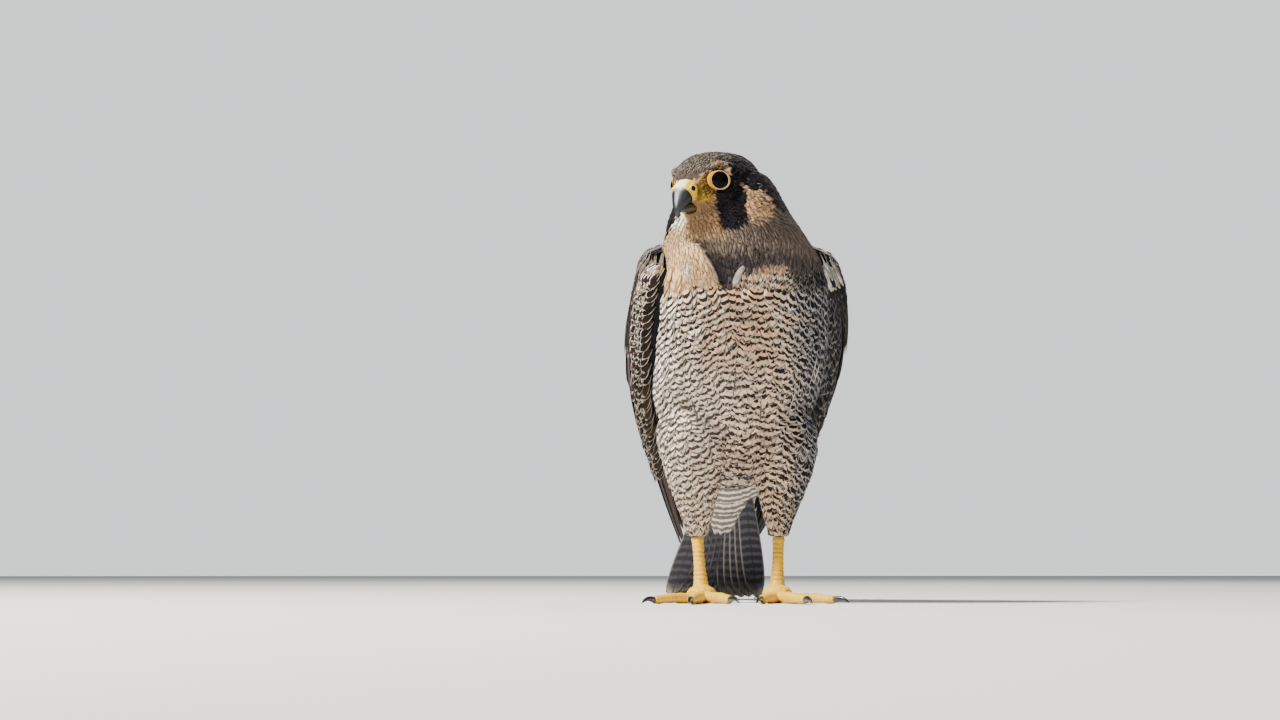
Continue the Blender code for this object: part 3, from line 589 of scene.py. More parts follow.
@dataclass
class HeadFrame:
    """The head's own axes: forward along the bill, left, and up."""

    at: tuple = (-29, -46, 297.5)
    yaw: float = 44
    pitch: float = 8

    def __post_init__(self) -> None:
        """Works out the three directions."""
        yaw, pitch = math.radians(self.yaw), math.radians(self.pitch)
        ahead = (-math.sin(yaw) * math.cos(pitch), -math.cos(yaw) * math.cos(pitch), -math.sin(pitch))
        left = (math.cos(yaw), -math.sin(yaw), 0)
        self.axes = np.array([ahead, left, np.cross(ahead, left)])

    def world(self, forward: float, left: float, up: float) -> np.ndarray:
        """A place of the head's frame in the bird's."""
        return np.array(self.at) + np.array([forward, left, up], float) @ self.axes

    def local(self, points: np.ndarray) -> np.ndarray:
        """Places of the bird's frame in the head's."""
        return (points - np.array(self.at)) @ self.axes.T


HEAD = HeadFrame()


# Where the feathers lie and what they look like.


@dataclass
class Trunk:
    """The axis of the trunk: z downward, then its x, y and radius."""

    rows: tuple = (
        (319, -16, -37, 20), (298, -11, -35, 34), (284, -10, -34, 42), (265, -5, -29, 50), (243, 0, -21, 57),
        (215, 0, -7, 60), (184, 0, 10, 60), (154, 0, 29, 56), (128, 0, 50, 44), (111, 0, 69, 32),
        (97, 0, 88, 23), (80, 0, 110, 16), (60, 0, 138, 10),
    )

    def __post_init__(self) -> None:
        """Turns the table into columns that rise with z."""
        table = np.array(self.rows, float)[::-1]
        self.z, self.x, self.y, self.radius = table.T
        run = np.gradient(table[:, 2]), np.gradient(table[:, 0])
        length = np.hypot(*run)
        self.down_y, self.down_z = -run[0] / length, -run[1] / length

    def turn(self, points: np.ndarray) -> np.ndarray:
        """The angle about the trunk from the middle of the breast, positive to the bird's left."""
        x = points[..., 0] - np.interp(points[..., 2], self.z, self.x)
        y = np.interp(points[..., 2], self.z, self.y) - points[..., 1]
        return np.arctan2(x, y)

    def down(self, points: np.ndarray) -> np.ndarray:
        """The direction of the trunk's axis toward the tail."""
        z = points[..., 2]
        y = np.interp(z, self.z, self.down_y)
        return np.stack([np.zeros_like(y), y, np.interp(z, self.z, self.down_z)], -1)


TRUNK = Trunk()
# The bars of the underparts in millimetres: the run from one to the next, how they arch, and the middle.
BAR_STEP = 5.4
BAR_ARCH = 0.0068
BAR_MIDDLE = 2.0
# What is added to the count of every bar, so that none is below zero.
PHASE_LIFT = 100.0
# How many roots are tried for each square of a region's spacing.
TRIES = 7


def inside(points: np.ndarray, outline: tuple) -> np.ndarray:
    """How deep points lie inside an outline, negative outside it.

    Args:
        points: an array of pairs.
        outline: the corners of a closed outline.

    Returns:
        The signed distance to the outline.
    """
    corners = np.array(outline, float)
    after = np.roll(corners, -1, axis=0)
    far = np.full(points.shape[:-1], 1e9)
    crossed = np.zeros(points.shape[:-1], bool)
    for a, b in zip(corners, after):
        run = b - a
        share = np.clip(((points - a) @ run) / (run @ run), 0, 1)
        far = np.minimum(far, np.linalg.norm(points - a - share[..., None] * run, axis=-1))
        above = (a[1] > points[..., 1]) != (b[1] > points[..., 1])
        level = np.where(above, points[..., 1] - a[1], 0) / (run[1] if run[1] else 1e-9)
        crossed ^= above & (points[..., 0] < a[0] + level * run[0])
    return np.where(crossed, far, -far)


# Outlines on the side of the head: forward and up.
MALAR = (
    (14.6, -1.5), (14.8, -6), (13.4, -9.5), (13.2, -19.4), (12.9, -24.6), (11.8, -28.6), (8.9, -31),
    (5.6, -30.7), (0.2, -27.5), (-2.4, -24.1), (-3.0, -20.4), (-1.8, -15.8), (-3.4, -12.4), (-5, -8.9),
    (-7.5, -4.6), (-9.5, -1.7), (-7, 6), (1, 10), (4, 3), (8, -0.6),
)
CAP = (
    (-9.5, -1.7), (-13.1, -2.7), (-20.5, -3.9), (-22.7, -7.8), (-22.5, -13.1), (-25.5, -16.1), (-31, -20),
    (-60, -22), (-60, 16), (-34, 19), (-23.7, 20.5), (-14.6, 21), (-5, 18.6), (3.0, 14.0), (1, 8.5),
)
CHEEK = (
    (-1.1, -12.4), (1.4, -15.8), (1.9, -18), (0.2, -22), (0.1, -25.5), (-5.2, -28), (-13.1, -28.5),
    (-21.3, -21.5), (-22.2, -11.6), (-20, -4.4), (-12.6, -2.7), (-9.5, -2.2), (-6.5, -4.6),
)
LORE = (
    (13.5, 12.5), (16.7, 12.4), (19.9, 9.9), (22.8, 5.3), (24.5, -0.5), (24, -8.6), (17, -9), (14, -5.5),
    (14.6, 2),
)
WHITE_BROW = ((14.5, 15.4), (12, 17.8), (6, 19.8), (2, 19.0), (6, 16.6), (10, 15.0))
FLECKS = ((-7, 1.5), (-13, 0.5), (-20, -1), (-20, 3), (-12, 5.5), (-3, 8), (0, 5))
# Lines on the head: how far up the crown begins at each place forward, and how far forward the black nape
# begins at each height.
CROWN_LINE = ((-60, 12), (-34, 16), (-18, 18.0), (-4, 16.5), (6, 13.5), (14, 12.5), (24, 6))
NAPE_LINE = ((-60, -70), (-44, -60), (-22, -46), (-14, -30), (0, -26))

# The fold at the middle of the upper breast, where a full pale lobe on the bird's right ends: z and x of its
# edge in the photo's view.
FOLD_EDGE = (
    (220, -18.0), (223.9, -19.0), (227.4, -21.2), (237.3, -24.8), (244.4, -28.4), (251.6, -32.0),
    (256.2, -36.8), (259.5, -42.3), (264, -48.0),
)
# Outlines on the breast, x and z: the notch at the fold's foot, the pale lobe, and the head's painted
# shadow.
NOTCH = ((-25, 240), (-21, 227), (-13, 224), (-8, 232), (-5, 242), (-12, 248), (-20, 249))
LOBE = (
    (-62, 263), (-42.3, 261), (-36.8, 257), (-32, 252), (-28.4, 245), (-24.8, 238), (-22.2, 229), (-30, 224),
    (-38, 226), (-44, 219), (-52, 216), (-62, 226),
)

PAINTED_HEAD_SHADOW = (
    (-42, 259), (-35.5, 256.5), (-31.5, 251.5), (-27.9, 244.5), (-24.3, 237.5), (-20.5, 227.5), (-17, 222),
    (-8, 228), (-9, 236), (-1, 234), (7, 237), (14, 239.5), (28, 240), (33, 227), (60, 223), (76, 262),
    (56, 298), (16, 290), (-20, 270), (-34, 264),
)
# How high the bars of the underparts begin at each x.
BAR_TOP = (
    (-62, 228), (-50, 218), (-41, 222), (-36, 228), (-21, 228), (-12, 232), (0, 236), (12, 234), (30, 240),
    (55, 244),
)


def read_off(value: np.ndarray, table: tuple) -> np.ndarray:
    """The second column of a table, read between its rows by its first."""
    return np.interp(value, *np.array(table, float).T)


def fold_run(points: np.ndarray) -> np.ndarray:
    """How far points of the breast lie to the bird's left of the lobe's edge."""
    return points[..., 0] - read_off(points[..., 2], FOLD_EDGE)


def breast_sink(points: np.ndarray) -> np.ndarray:
    """How much deeper than its surroundings the skin lies beside the breast's pale lobe."""
    run = fold_run(points)
    height = ease(points[..., 2], 221, 230) * ease(points[..., 2], 265, 255) * (points[..., 1] < -15)
    hollow = ease(run, -1.2, 1.6) * ease(run, 26, 5)
    bulge = ease(run, 0.2, -3.5) * ease(run, -34, -12)
    notch = ease(inside(points[..., [0, 2]], NOTCH), -1.5, 4)
    return height * (3.2 * hollow - 1.7 * bulge + 2.2 * notch)


class Tone:
    """The colours of the plumage, as linear light."""

    CROWN = linear(70, 61, 55)
    TUFT = linear(238, 230, 214)
    BLACK = linear(14, 12, 20)
    NAPE = linear(42, 34, 30)
    CHEEK = linear(198, 156, 114)
    LORE = linear(96, 70, 22)
    GAPE = linear(150, 116, 40)
    CHIN = linear(138, 108, 76)
    THROAT = linear(190, 160, 122)
    CREAM = linear(230, 191, 144)
    BUFF = linear(206, 168, 132)
    WHITE = linear(234, 222, 206)
    # FLANK: the flank's greyish white darkened into painted shade; it also greys the painted head shadow and
    # the shaded wing's edge.
    FLANK = linear(132, 130, 138)
    # SHADE: the colour of the head's painted shadow on the neck and upper breast.
    SHADE = linear(58, 54, 55)
    MANTLE = linear(70, 76, 90)
    BROWN = linear(84, 62, 46)


def patchy(points: np.ndarray) -> np.ndarray:
    """A soft unevenness from -1 to 1 over a few millimetres."""
    x, y, z = points[..., 0], points[..., 1], points[..., 2]
    return np.sin(1.3 * x + 2 * np.sin(0.9 * z)) * np.sin(1.5 * z + 2 * np.sin(0.8 * x + 0.5 * y))


@dataclass
class Look:
    """The markings at a set of points."""

    tone: np.ndarray
    bars: np.ndarray
    fringe: np.ndarray
    cool: np.ndarray
    mottle: np.ndarray


def mixed(first: np.ndarray, second: np.ndarray, share: np.ndarray) -> np.ndarray:
    """Colours moved toward another by a share."""
    return first + (np.array(second) - first) * np.asarray(share)[..., None]


def layered(tone: tuple, *layers: tuple) -> np.ndarray:
    """A colour under layers of others, each a pair of a colour and its share."""
    result = np.array(tone)
    for colour, share in layers:
        result = mixed(result, colour, share)
    return result


def spot(across: np.ndarray, up: np.ndarray, wide: tuple, high: tuple) -> np.ndarray:
    """A soft spot, whose rows for each direction are its middle, where it ends and where it is whole."""
    return ease(np.abs(across - wide[0]), *wide[1:]) * ease(np.abs(up - high[0]), *high[1:])


def bar_phase(points: np.ndarray) -> np.ndarray:
    """Which bar of the underparts a point lies in, counted downward."""
    x, z = points[..., 0], points[..., 2]
    wave = 1.5 * np.sin(x * 0.16 + 0.6) + 0.9 * np.sin(x * 0.37 + z * 0.11)
    wave = wave + 0.8 * np.sin(x * 0.09 + z * 0.23)
    return -(z + BAR_ARCH * (x - BAR_MIDDLE) ** 2 + wave) / BAR_STEP


def body_look(points: np.ndarray, jitter: np.ndarray) -> Look:
    """The markings of the neck, breast, belly, thighs and back.

    Args:
        points: places on the body.
        jitter: a random number from -1 to 1 for each, which makes the borders ragged.

    Returns:
        The markings there.
    """
    x, z = points[..., 0], points[..., 2]
    front = points[..., [0, 2]]
    turn = np.abs(np.degrees(TRUNK.turn(points)))
    shift = jitter * 5
    ragged = z + shift
    start = read_off(x, BAR_TOP)

    orange = 0.75 * ease(ragged, 250, 234) * ease(x, -18, -28)
    orange = np.maximum(orange, 0.8 * spot(x, ragged, (18, 16, 10), (238, 8, 4)))
    blot = spot(x, ragged, (-47, 7, 4), (237, 5, 2))
    run = fold_run(points)
    # rim: a pale line along the lobe's edge, a painted highlight where light catches that edge.
    rim = ease(run, -2.4, -1.4) * ease(run, 0.4, -0.4) * ease(z, 222, 228) * ease(z, 264, 258)
    low = ease(ragged, start + 4, start - 12)
    side = ease(turn + shift * 3, 10, 62)
    # The head's painted shadow over the neck and upper breast: soft widens its edge toward the bird's left,
    # and strength is how far it goes toward SHADE.
    soft = 0.6 + 3.2 * ease(x, -12, 15)
    head_shadow = ease(inside(front, PAINTED_HEAD_SHADOW) / soft + jitter * 0.3, -0.8, 1.0) * ease(points[..., 1], 12, -12)
    strength = 0.98 - 0.25 * ease(ragged, 246, 251) * (1 - 0.35 * ease(x, -5, 5)) - 0.08 * ease(x, 25, 45)
    back = ease(turn + shift * 1.6, 104, 122)
    tone = layered(
        Tone.CREAM,
        (Tone.CHEEK, orange),
        (Tone.TUFT, 0.5 * np.maximum(blot, rim)),
        (Tone.BUFF, low * (1 - side)),
        (Tone.WHITE, low * side * (1 - 0.55 * ease(z, 219, 229))),
        (Tone.WHITE, 0.7 * spot(x, ragged, (16, 18, 13), (228, 6, 3))),
        # Painted shade on the bird's left flank, which greys it.
        (Tone.FLANK, ease(ragged, 246, 232) * ease(x + shift * 1.5, 20, 56)),
        # Whiter lower belly toward the bird's right: partly its own white, partly painted light on the side
        # toward the key lamp.
        (Tone.WHITE, ease(z + shift * 2, 182, 150) * (0.6 - 0.5 * ease(x, -15, 35))),
        # The head's painted shadow: greyed, then darkened toward SHADE.
        (Tone.FLANK, 0.45 * head_shadow),
        (Tone.SHADE, strength * head_shadow),
        (Tone.MANTLE, back),
    )
    spots = 0.35 * (np.sin(x * 1.9 + z * 0.7) * np.sin(z * 1.3 - x * 0.4) > 0.72) * ease(z, 262, 250)
    spots = spots * (inside(front, LOBE) < 0)
    bars = np.where(back > 0.5, 0.35, np.maximum(ease(ragged, start + 1, start - 5), spots))
    bars = bars * (1 - 0.05 * ease(z + shift * 2, 190, 150) * ease(x, 5, -25))
    fringe = np.where(back > 0.5, 0.7, 0.35 * low)
    # Cooler bars on the bird's left flank are painted shade; on the back they are its own slate.
    cool = np.clip(ease(x, 16, 50) * low + back, 0, 1)
    return Look(tone * (1 + 0.09 * patchy(points * 0.6))[..., None], bars, fringe, cool, 0.06 + 0.05 * low)


def head_look(points: np.ndarray, jitter: np.ndarray) -> Look:
    """The markings of the head, blended into those of the neck.

    Args:
        points: places on the head.
        jitter: a random number from -1 to 1 for each.

    Returns:
        The markings there.
    """
    look = body_look(points, jitter)
    forward, left, up = np.moveaxis(HEAD.local(points), -1, 0)
    side, flat = np.abs(left), np.stack([forward, up], -1)
    ragged = jitter * 1.3
    front = ease(forward + jitter * 2, 8, 12) * ease(up, -6, -10)
    # chin: darker buff under the bill, partly its own colour and partly painted shade. tuft: white chin
    # feathers on the bird's right, partly their own white and partly a painted highlight.
    chin = front * ease(up + ragged * 2, -39, -31) * ease(left + ragged * 2, -5, -1)
    tuft = ease(forward + ragged, 16, 19) * ease(up + ragged, -28, -24) * ease(left + ragged * 2, -3, -6)
    cheek = ease(inside(flat, CHEEK) + ragged, -0.8, 0.8) * (side > 12)
    curls = np.array(Tone.CHEEK) * (0.88 + 0.5 * patchy(points * 1.4))[..., None]
    crown = ease(up - read_off(forward, CROWN_LINE) + ragged, -0.8, 0.8)
    top = layered(Tone.CROWN, (Tone.NAPE, ease(forward + jitter * 3, -6, -20)))
    top = top * (1 + 0.65 * patchy(points * 1.1))[..., None]
    brow = 0.6 * ease(inside(flat, WHITE_BROW) + ragged, -0.6, 0.8) * (side > 12)
    lore = ease(inside(flat, LORE) + ragged, -0.9, 0.6) * (side > 5) * (1 - crown * 0.6)
    loral = layered(Tone.LORE, (Tone.GAPE, ease(up, -2, -7) * (left > 0)))
    back = np.where(left < 0, 6.0, 0.0) * ease(up, -8, -14)
    reach = flat - np.stack([back, np.zeros_like(up)], -1)
    black = ease(np.maximum(inside(reach, MALAR), inside(flat, CAP)) + ragged, -0.6, 0.6) * (side > 9)
    behind = ease(forward - read_off(up, NAPE_LINE) + jitter * 2, 0, -4) * ease(up + jitter * 5, -52, -20)
    black = np.clip(np.maximum(black, behind), 0, 1)
    tone = layered(
        look.tone,
        (Tone.THROAT, ease(up + ragged, -39, -34) * front),
        (Tone.CHIN, chin),
        (Tone.TUFT, tuft),
        (curls, cheek),
        (top, crown),
        (Tone.CHEEK, brow),
        (loral, lore),
        (layered(Tone.BLACK, (Tone.NAPE, 0.8 * ease(forward, -20, -30))), black),
    )
    fringe = np.where(cheek > 0.5, 0.5, 0.0)
    fringe = np.where(crown > 0.5, 0.9 * ease(forward, -26, -8) * (patchy(points * 1.3) > -0.2), fringe)
    fringe = np.where(black > 0.5, 0.10, fringe)
    fringe = np.where((inside(flat, FLECKS) > 0) & (jitter > 0.1) & (side > 12), 0.9, fringe)
    cool = np.maximum(look.cool, np.clip(black + 0.3 * crown, 0, 1))
    mottle = np.clip(0.08 + 0.34 * crown * (1 - black) + 0.3 * cheek + 0.15 * black, 0, 0.42)
    return Look(tone, look.bars * ease(points[..., 2], 262, 256), fringe, cool, mottle)


def flock(points: np.ndarray) -> np.ndarray:
    """The direction in which feathers lie, before it is brought onto the surface.

    Args:
        points: places on the skin.

    Returns:
        A direction for each.
    """
    radial = unit(points - HEAD.world(27, 0, -1))
    turn = TRUNK.turn(points)
    inward = -2 * BAR_ARCH * (points[..., 0] - BAR_MIDDLE) * ease(np.abs(turn), 2.0, 1.2)
    body = TRUNK.down(points) + inward[..., None] * np.array([1.0, 0, 0])
    share = ease(points[..., 2], 285, 252)[..., None]
    leg = ease(points[..., 2], 92, 78)[..., None] * (np.abs(points[..., 0:1]) < 60) * (points[..., 1:2] < 50)
    mixture = radial * (1 - share) + unit(body) * share
    return unit(mixture * (1 - leg) + np.array([0, 0.12, -1.0]) * leg)


def quads(grid: np.ndarray) -> np.ndarray:
    """The corners of each face of a grid of vertex numbers."""
    return np.stack([grid[:-1, :-1], grid[:-1, 1:], grid[1:, 1:], grid[1:, :-1]], -1).reshape(-1, 4)


def put_looks(mesh: bpy.types.Mesh, shape: tuple, lay: tuple, tone: tuple, mark: tuple) -> None:
    """Writes the attributes that the feather pattern reads.

    Args:
        mesh: the mesh that carries them.
        shape: the shape that the rows of each attribute are spread to.
        lay: the places along and across the feather and its own random number.
        tone: red, green and blue.
        mark: the bars' count, their strength, the fringe's, and how cool the dark colour is.
    """
    for name, kind, parts in (
        ("lay", "FLOAT_VECTOR", lay), ("tone", "FLOAT_COLOR", (*tone, 1.0)), ("mark", "FLOAT_COLOR", mark),
    ):
        put_attribute(mesh, name, kind, np.stack([np.broadcast_to(part, shape) for part in parts], -1))


@dataclass
class Vanes:
    """A batch of feathers, each a grid of rows from root to tip and columns across."""

    rows: int
    columns: int
    camber: float = 0.10
    thick: float = 0.5
    ragged: float = 0.05
    round_tip: float = 0.16
    shift: float = 0.34
    kept: list = field(default_factory=list)

    def add(
        self, middle: np.ndarray, normal: np.ndarray, across: np.ndarray, half: np.ndarray, length: float,
        tone: np.ndarray, mark: tuple, chart: tuple, phase: tuple = (math.nan, math.nan),
    ) -> None:
        """Adds one feather.

        Args:
            middle: the shaft's places, a row each.
            normal: the outward direction, one for all rows or one for each.
            across: the direction across the feather, likewise.
            half: the half width at each row.
            length: the feather's length.
            tone: its colour.
            mark: the strength of its bars, of its fringe, and how cool its dark colour is.
            chart: the place of its root on the unwrap of the surface below.
            phase: the bars' count at root and tip; without it they follow the body's own bars.
        """
        normal, across = np.broadcast_to(normal, middle.shape), np.broadcast_to(across, middle.shape)
        self.kept.append((middle, normal, across, half, length, tone, mark, chart, phase))

    def grid(self, chance: np.random.Generator) -> tuple:
        """Works out the places of every feather's upper and lower faces.

        Args:
            chance: the source of random numbers.

        Returns:
            Upper places, lower places, and the shares along and across.
        """
        middle, normal, across, half, length = (np.array(part) for part in list(zip(*self.kept))[:5])
        s = np.linspace(0, 1, self.rows)
        x = np.linspace(-1, 1, self.columns)
        arch = (x ** 2)[None, None, :]
        spread = half[:, :, None] * x[None, None, :]
        drop = self.camber * half[:, :, None] * arch
        upper = middle[:, :, None] + across[:, :, None] * spread[..., None]
        upper = upper - normal[:, :, None] * drop[..., None]
        ahead = unit(np.gradient(middle, axis=1))
        notch = chance.normal(0, self.ragged, (len(middle), self.rows, self.columns))
        back = length[:, None, None] * (s ** 3)[None, :, None] * (self.round_tip * arch + notch)
        upper -= ahead[:, :, None] * back[..., None]
        body = self.thick * (1 - arch) * np.sin(np.pi * np.clip(s * 0.9 + 0.08, 0, 1))[None, :, None]
        lower = upper - normal[:, :, None] * body[..., None]
        upper = upper + normal[:, :, None] * (body * 0.35)[..., None]
        return upper, lower, s, x

    def mesh(self, name: str, chance: np.random.Generator) -> bpy.types.Mesh:
        """The whole batch as one mesh with its attributes and its chart.

        Args:
            name: the mesh's name.
            chance: the source of random numbers.

        Returns:
            The mesh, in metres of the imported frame.
        """
        upper, lower, s, x = self.grid(chance)
        count, rows, columns = upper.shape[:3]
        inner = (rows - 2) * (columns - 2)
        each = rows * columns + inner
        places = np.concatenate(
            [upper.reshape(count, -1, 3), lower[:, 1:-1, 1:-1].reshape(count, -1, 3)], axis=1)
        top = np.arange(rows * columns).reshape(rows, columns)
        under = top.copy()
        under[1:-1, 1:-1] = rows * columns + np.arange(inner).reshape(rows - 2, columns - 2)
        pattern = np.concatenate([quads(top), quads(under)[:, [0, 3, 2, 1]]])
        faces = (pattern[None] + (np.arange(count) * each)[:, None, None]).reshape(-1, 4)
        lay_s, lay_x = (
            np.concatenate([share.ravel(), share[1:-1, 1:-1].ravel()])
            for share in np.meshgrid(s, x, indexing="ij")
        )
        seeds = chance.random(count)
        mesh = self.from_arrays(name, metres(places), faces)
        tone, mark, chart, ends = (np.array(part, float) for part in list(zip(*self.kept))[5:])
        own = ends[:, :1] + (ends[:, 1:] - ends[:, :1]) * lay_s[None] - 0.30 * lay_x[None] ** 2
        shift = chance.uniform(-self.shift, self.shift, (count, 1))
        shared = bar_phase(places) + (0.2 + 1.2 * self.shift) * lay_x[None] ** 2 + shift
        phase = np.where(np.isnan(ends[:, :1]), shared, own) + PHASE_LIFT
        lay = (lay_s, lay_x, seeds[:, None])
        put_looks(mesh, (count, each), lay, tone.T[..., None], (phase, *mark.T[..., None]))
        chart = chart[:, None, :] + np.stack([lay_x * 0.0015, (lay_s - 0.5) * 0.003], -1)[None]
        layer = mesh.uv_layers.new(name="OFBake")
        layer.data.foreach_set("uv", chart.reshape(-1, 2)[faces.ravel()].astype(np.float32).ravel())
        return mesh

    @staticmethod
    def from_arrays(name: str, places: np.ndarray, faces: np.ndarray) -> bpy.types.Mesh:
        """A mesh of joined vanes.

        Args:
            name: the mesh's name.
            places: its vertices in metres.
            faces: the four vertices of each face.

        Returns:
            The new mesh.
        """
        mesh = bpy.data.meshes.new(name)
        mesh.vertices.add(places.size // 3)
        mesh.vertices.foreach_set("co", places.astype(np.float32).ravel())
        mesh.loops.add(faces.size)
        mesh.loops.foreach_set("vertex_index", faces.astype(np.int32).ravel())
        mesh.polygons.add(len(faces))
        mesh.polygons.foreach_set("loop_start", np.arange(0, faces.size, 4, dtype=np.int32))
        mesh.update(calc_edges=True)
        mesh.shade_smooth()
        return mesh


def outline_shares(rows: int, root: float, widest: float, tip: float) -> np.ndarray:
    """The half width of a feather at each row, against its greatest.

    Args:
        rows: how many rows it has.
        root: its width at the root.
        widest: where along it it is widest.
        tip: its width at the tip.

    Returns:
        A share for each row.
    """
    s = np.linspace(0, 1, rows)
    rising = root + (1 - root) * np.sin(np.pi / 2 * np.clip(s / widest, 0, 1))
    falling = np.sqrt(np.clip(1 - ((s - widest) / (1.02 - widest)) ** 2 * (s > widest), 0, 1))
    return np.where(s > widest, tip + (1 - tip) * falling, rising)


@dataclass(frozen=True)
class Patch:
    """The feathers of one part of the skin: sizes in millimetres."""

    name: str
    length: float
    width: float
    spacing: float
    rise: float
    rows: int = 6
    columns: int = 5


class Region(Enum):
    """The parts of the skin that differ in the size of their feathers."""

    FACE = Patch("face", 4.4, 2.1, 1.2, 0.5, 4, 3)
    HEAD = Patch("head", 7.2, 3.8, 2.1, 0.8, 5, 3)
    THROAT = Patch("throat", 9.0, 2.5, 1.6, 0.6, 5, 3)
    NECK = Patch("neck", 12.0, 3.3, 1.95, 0.5, 5, 3)
    BREAST = Patch("breast", 17.0, 9.0, 3.5, 1.7, 6, 5)
    FLANK = Patch("flank", 23.0, 11.0, 4.3, 2.2, 8, 7)
    MANTLE = Patch("mantle", 21.0, 13.0, 5.2, 2.4, 7, 7)
    THIGH = Patch("thigh", 15.0, 7.0, 3.2, 1.5, 6, 5)


class Skin:
    """One skin under all the body's feathers, from head to thighs and tail root."""

    sources = ("head", "neck", "torso", "thigh_left", "thigh_right", "cere", "eye_left", "eye_right")
    stands_for = ("head", "neck", "torso", "thigh_left", "thigh_right")
    voxel = 0.0015

    def __init__(self) -> None:
        """Merges the flesh and sinks it by the depth of the coat."""
        mesh = merged_nodes(self.sources, self.voxel, 9)
        points = millimetres(points_of(mesh))
        depth = self.depth(points)
        points -= normals_of(mesh) * depth[:, None]
        put_points(mesh, metres(points))
        self.mesh = mesh
        self.points = points
        mesh.calc_loop_triangles()
        flat = np.empty(len(mesh.loop_triangles) * 3, np.int32)
        mesh.loop_triangles.foreach_get("vertices", flat)
        self.triangles = flat.reshape(-1, 3)
        self.tree = BVHTree.FromPolygons(self.points.tolist(), self.triangles.tolist())

    @staticmethod
    def depth(points: np.ndarray) -> np.ndarray:
        """How deep the skin lies under the tips of the feathers.

        Args:
            points: places on the merged flesh.

        Returns:
            A depth for each, in millimetres.
        """
        face = HEAD.local(points)[:, 0]
        z = points[:, 2]
        depth = 1.5 - 0.7 * ease(z, 236, 252) - 0.3 * ease(z, 264, 284) - 0.2 * ease(face, 2, 16) * (z > 276)
        turn = np.degrees(TRUNK.turn(points))
        gap = 3.6 * ease(turn, -48, -62) * ease(turn, -120, -100) * ease(z, 262, 250)
        gap = gap * ease(z, 140, 190)
        gap = gap - 4.0 * ease(z, 190, 150) * ease(z, 95, 125) * ease(turn, -35, -60) * ease(turn, -110, -85)
        for side in Side:
            reach = np.linalg.norm(points - Eye.middle_of(side), axis=1)
            depth = depth + 2.8 * ease(reach, 11, 8.5)
        return depth + breast_sink(points) + gap

    def finish(self, material: bpy.types.Material) -> None:
        """Dresses the skin in the markings of its coat.

        Args:
            material: its material.
        """
        jitter = np.random.default_rng(SEED).uniform(-1, 1, len(self.points))
        head = ease(self.points[:, 2], 256, 264)
        upper, lower = head_look(self.points, jitter), body_look(self.points, jitter)
        tone = (upper.tone * head[:, None] + lower.tone * (1 - head[:, None])) * 0.80
        phase, cool = bar_phase(self.points) + PHASE_LIFT, np.maximum(lower.cool, upper.cool)
        mark = (phase, lower.bars * (1 - head), 0.0, cool)
        put_looks(self.mesh, (len(tone),), (0.5, 0.5, 0.5), tone.T, mark)
        finish_piece("skin", self.mesh, material, self.stands_for)


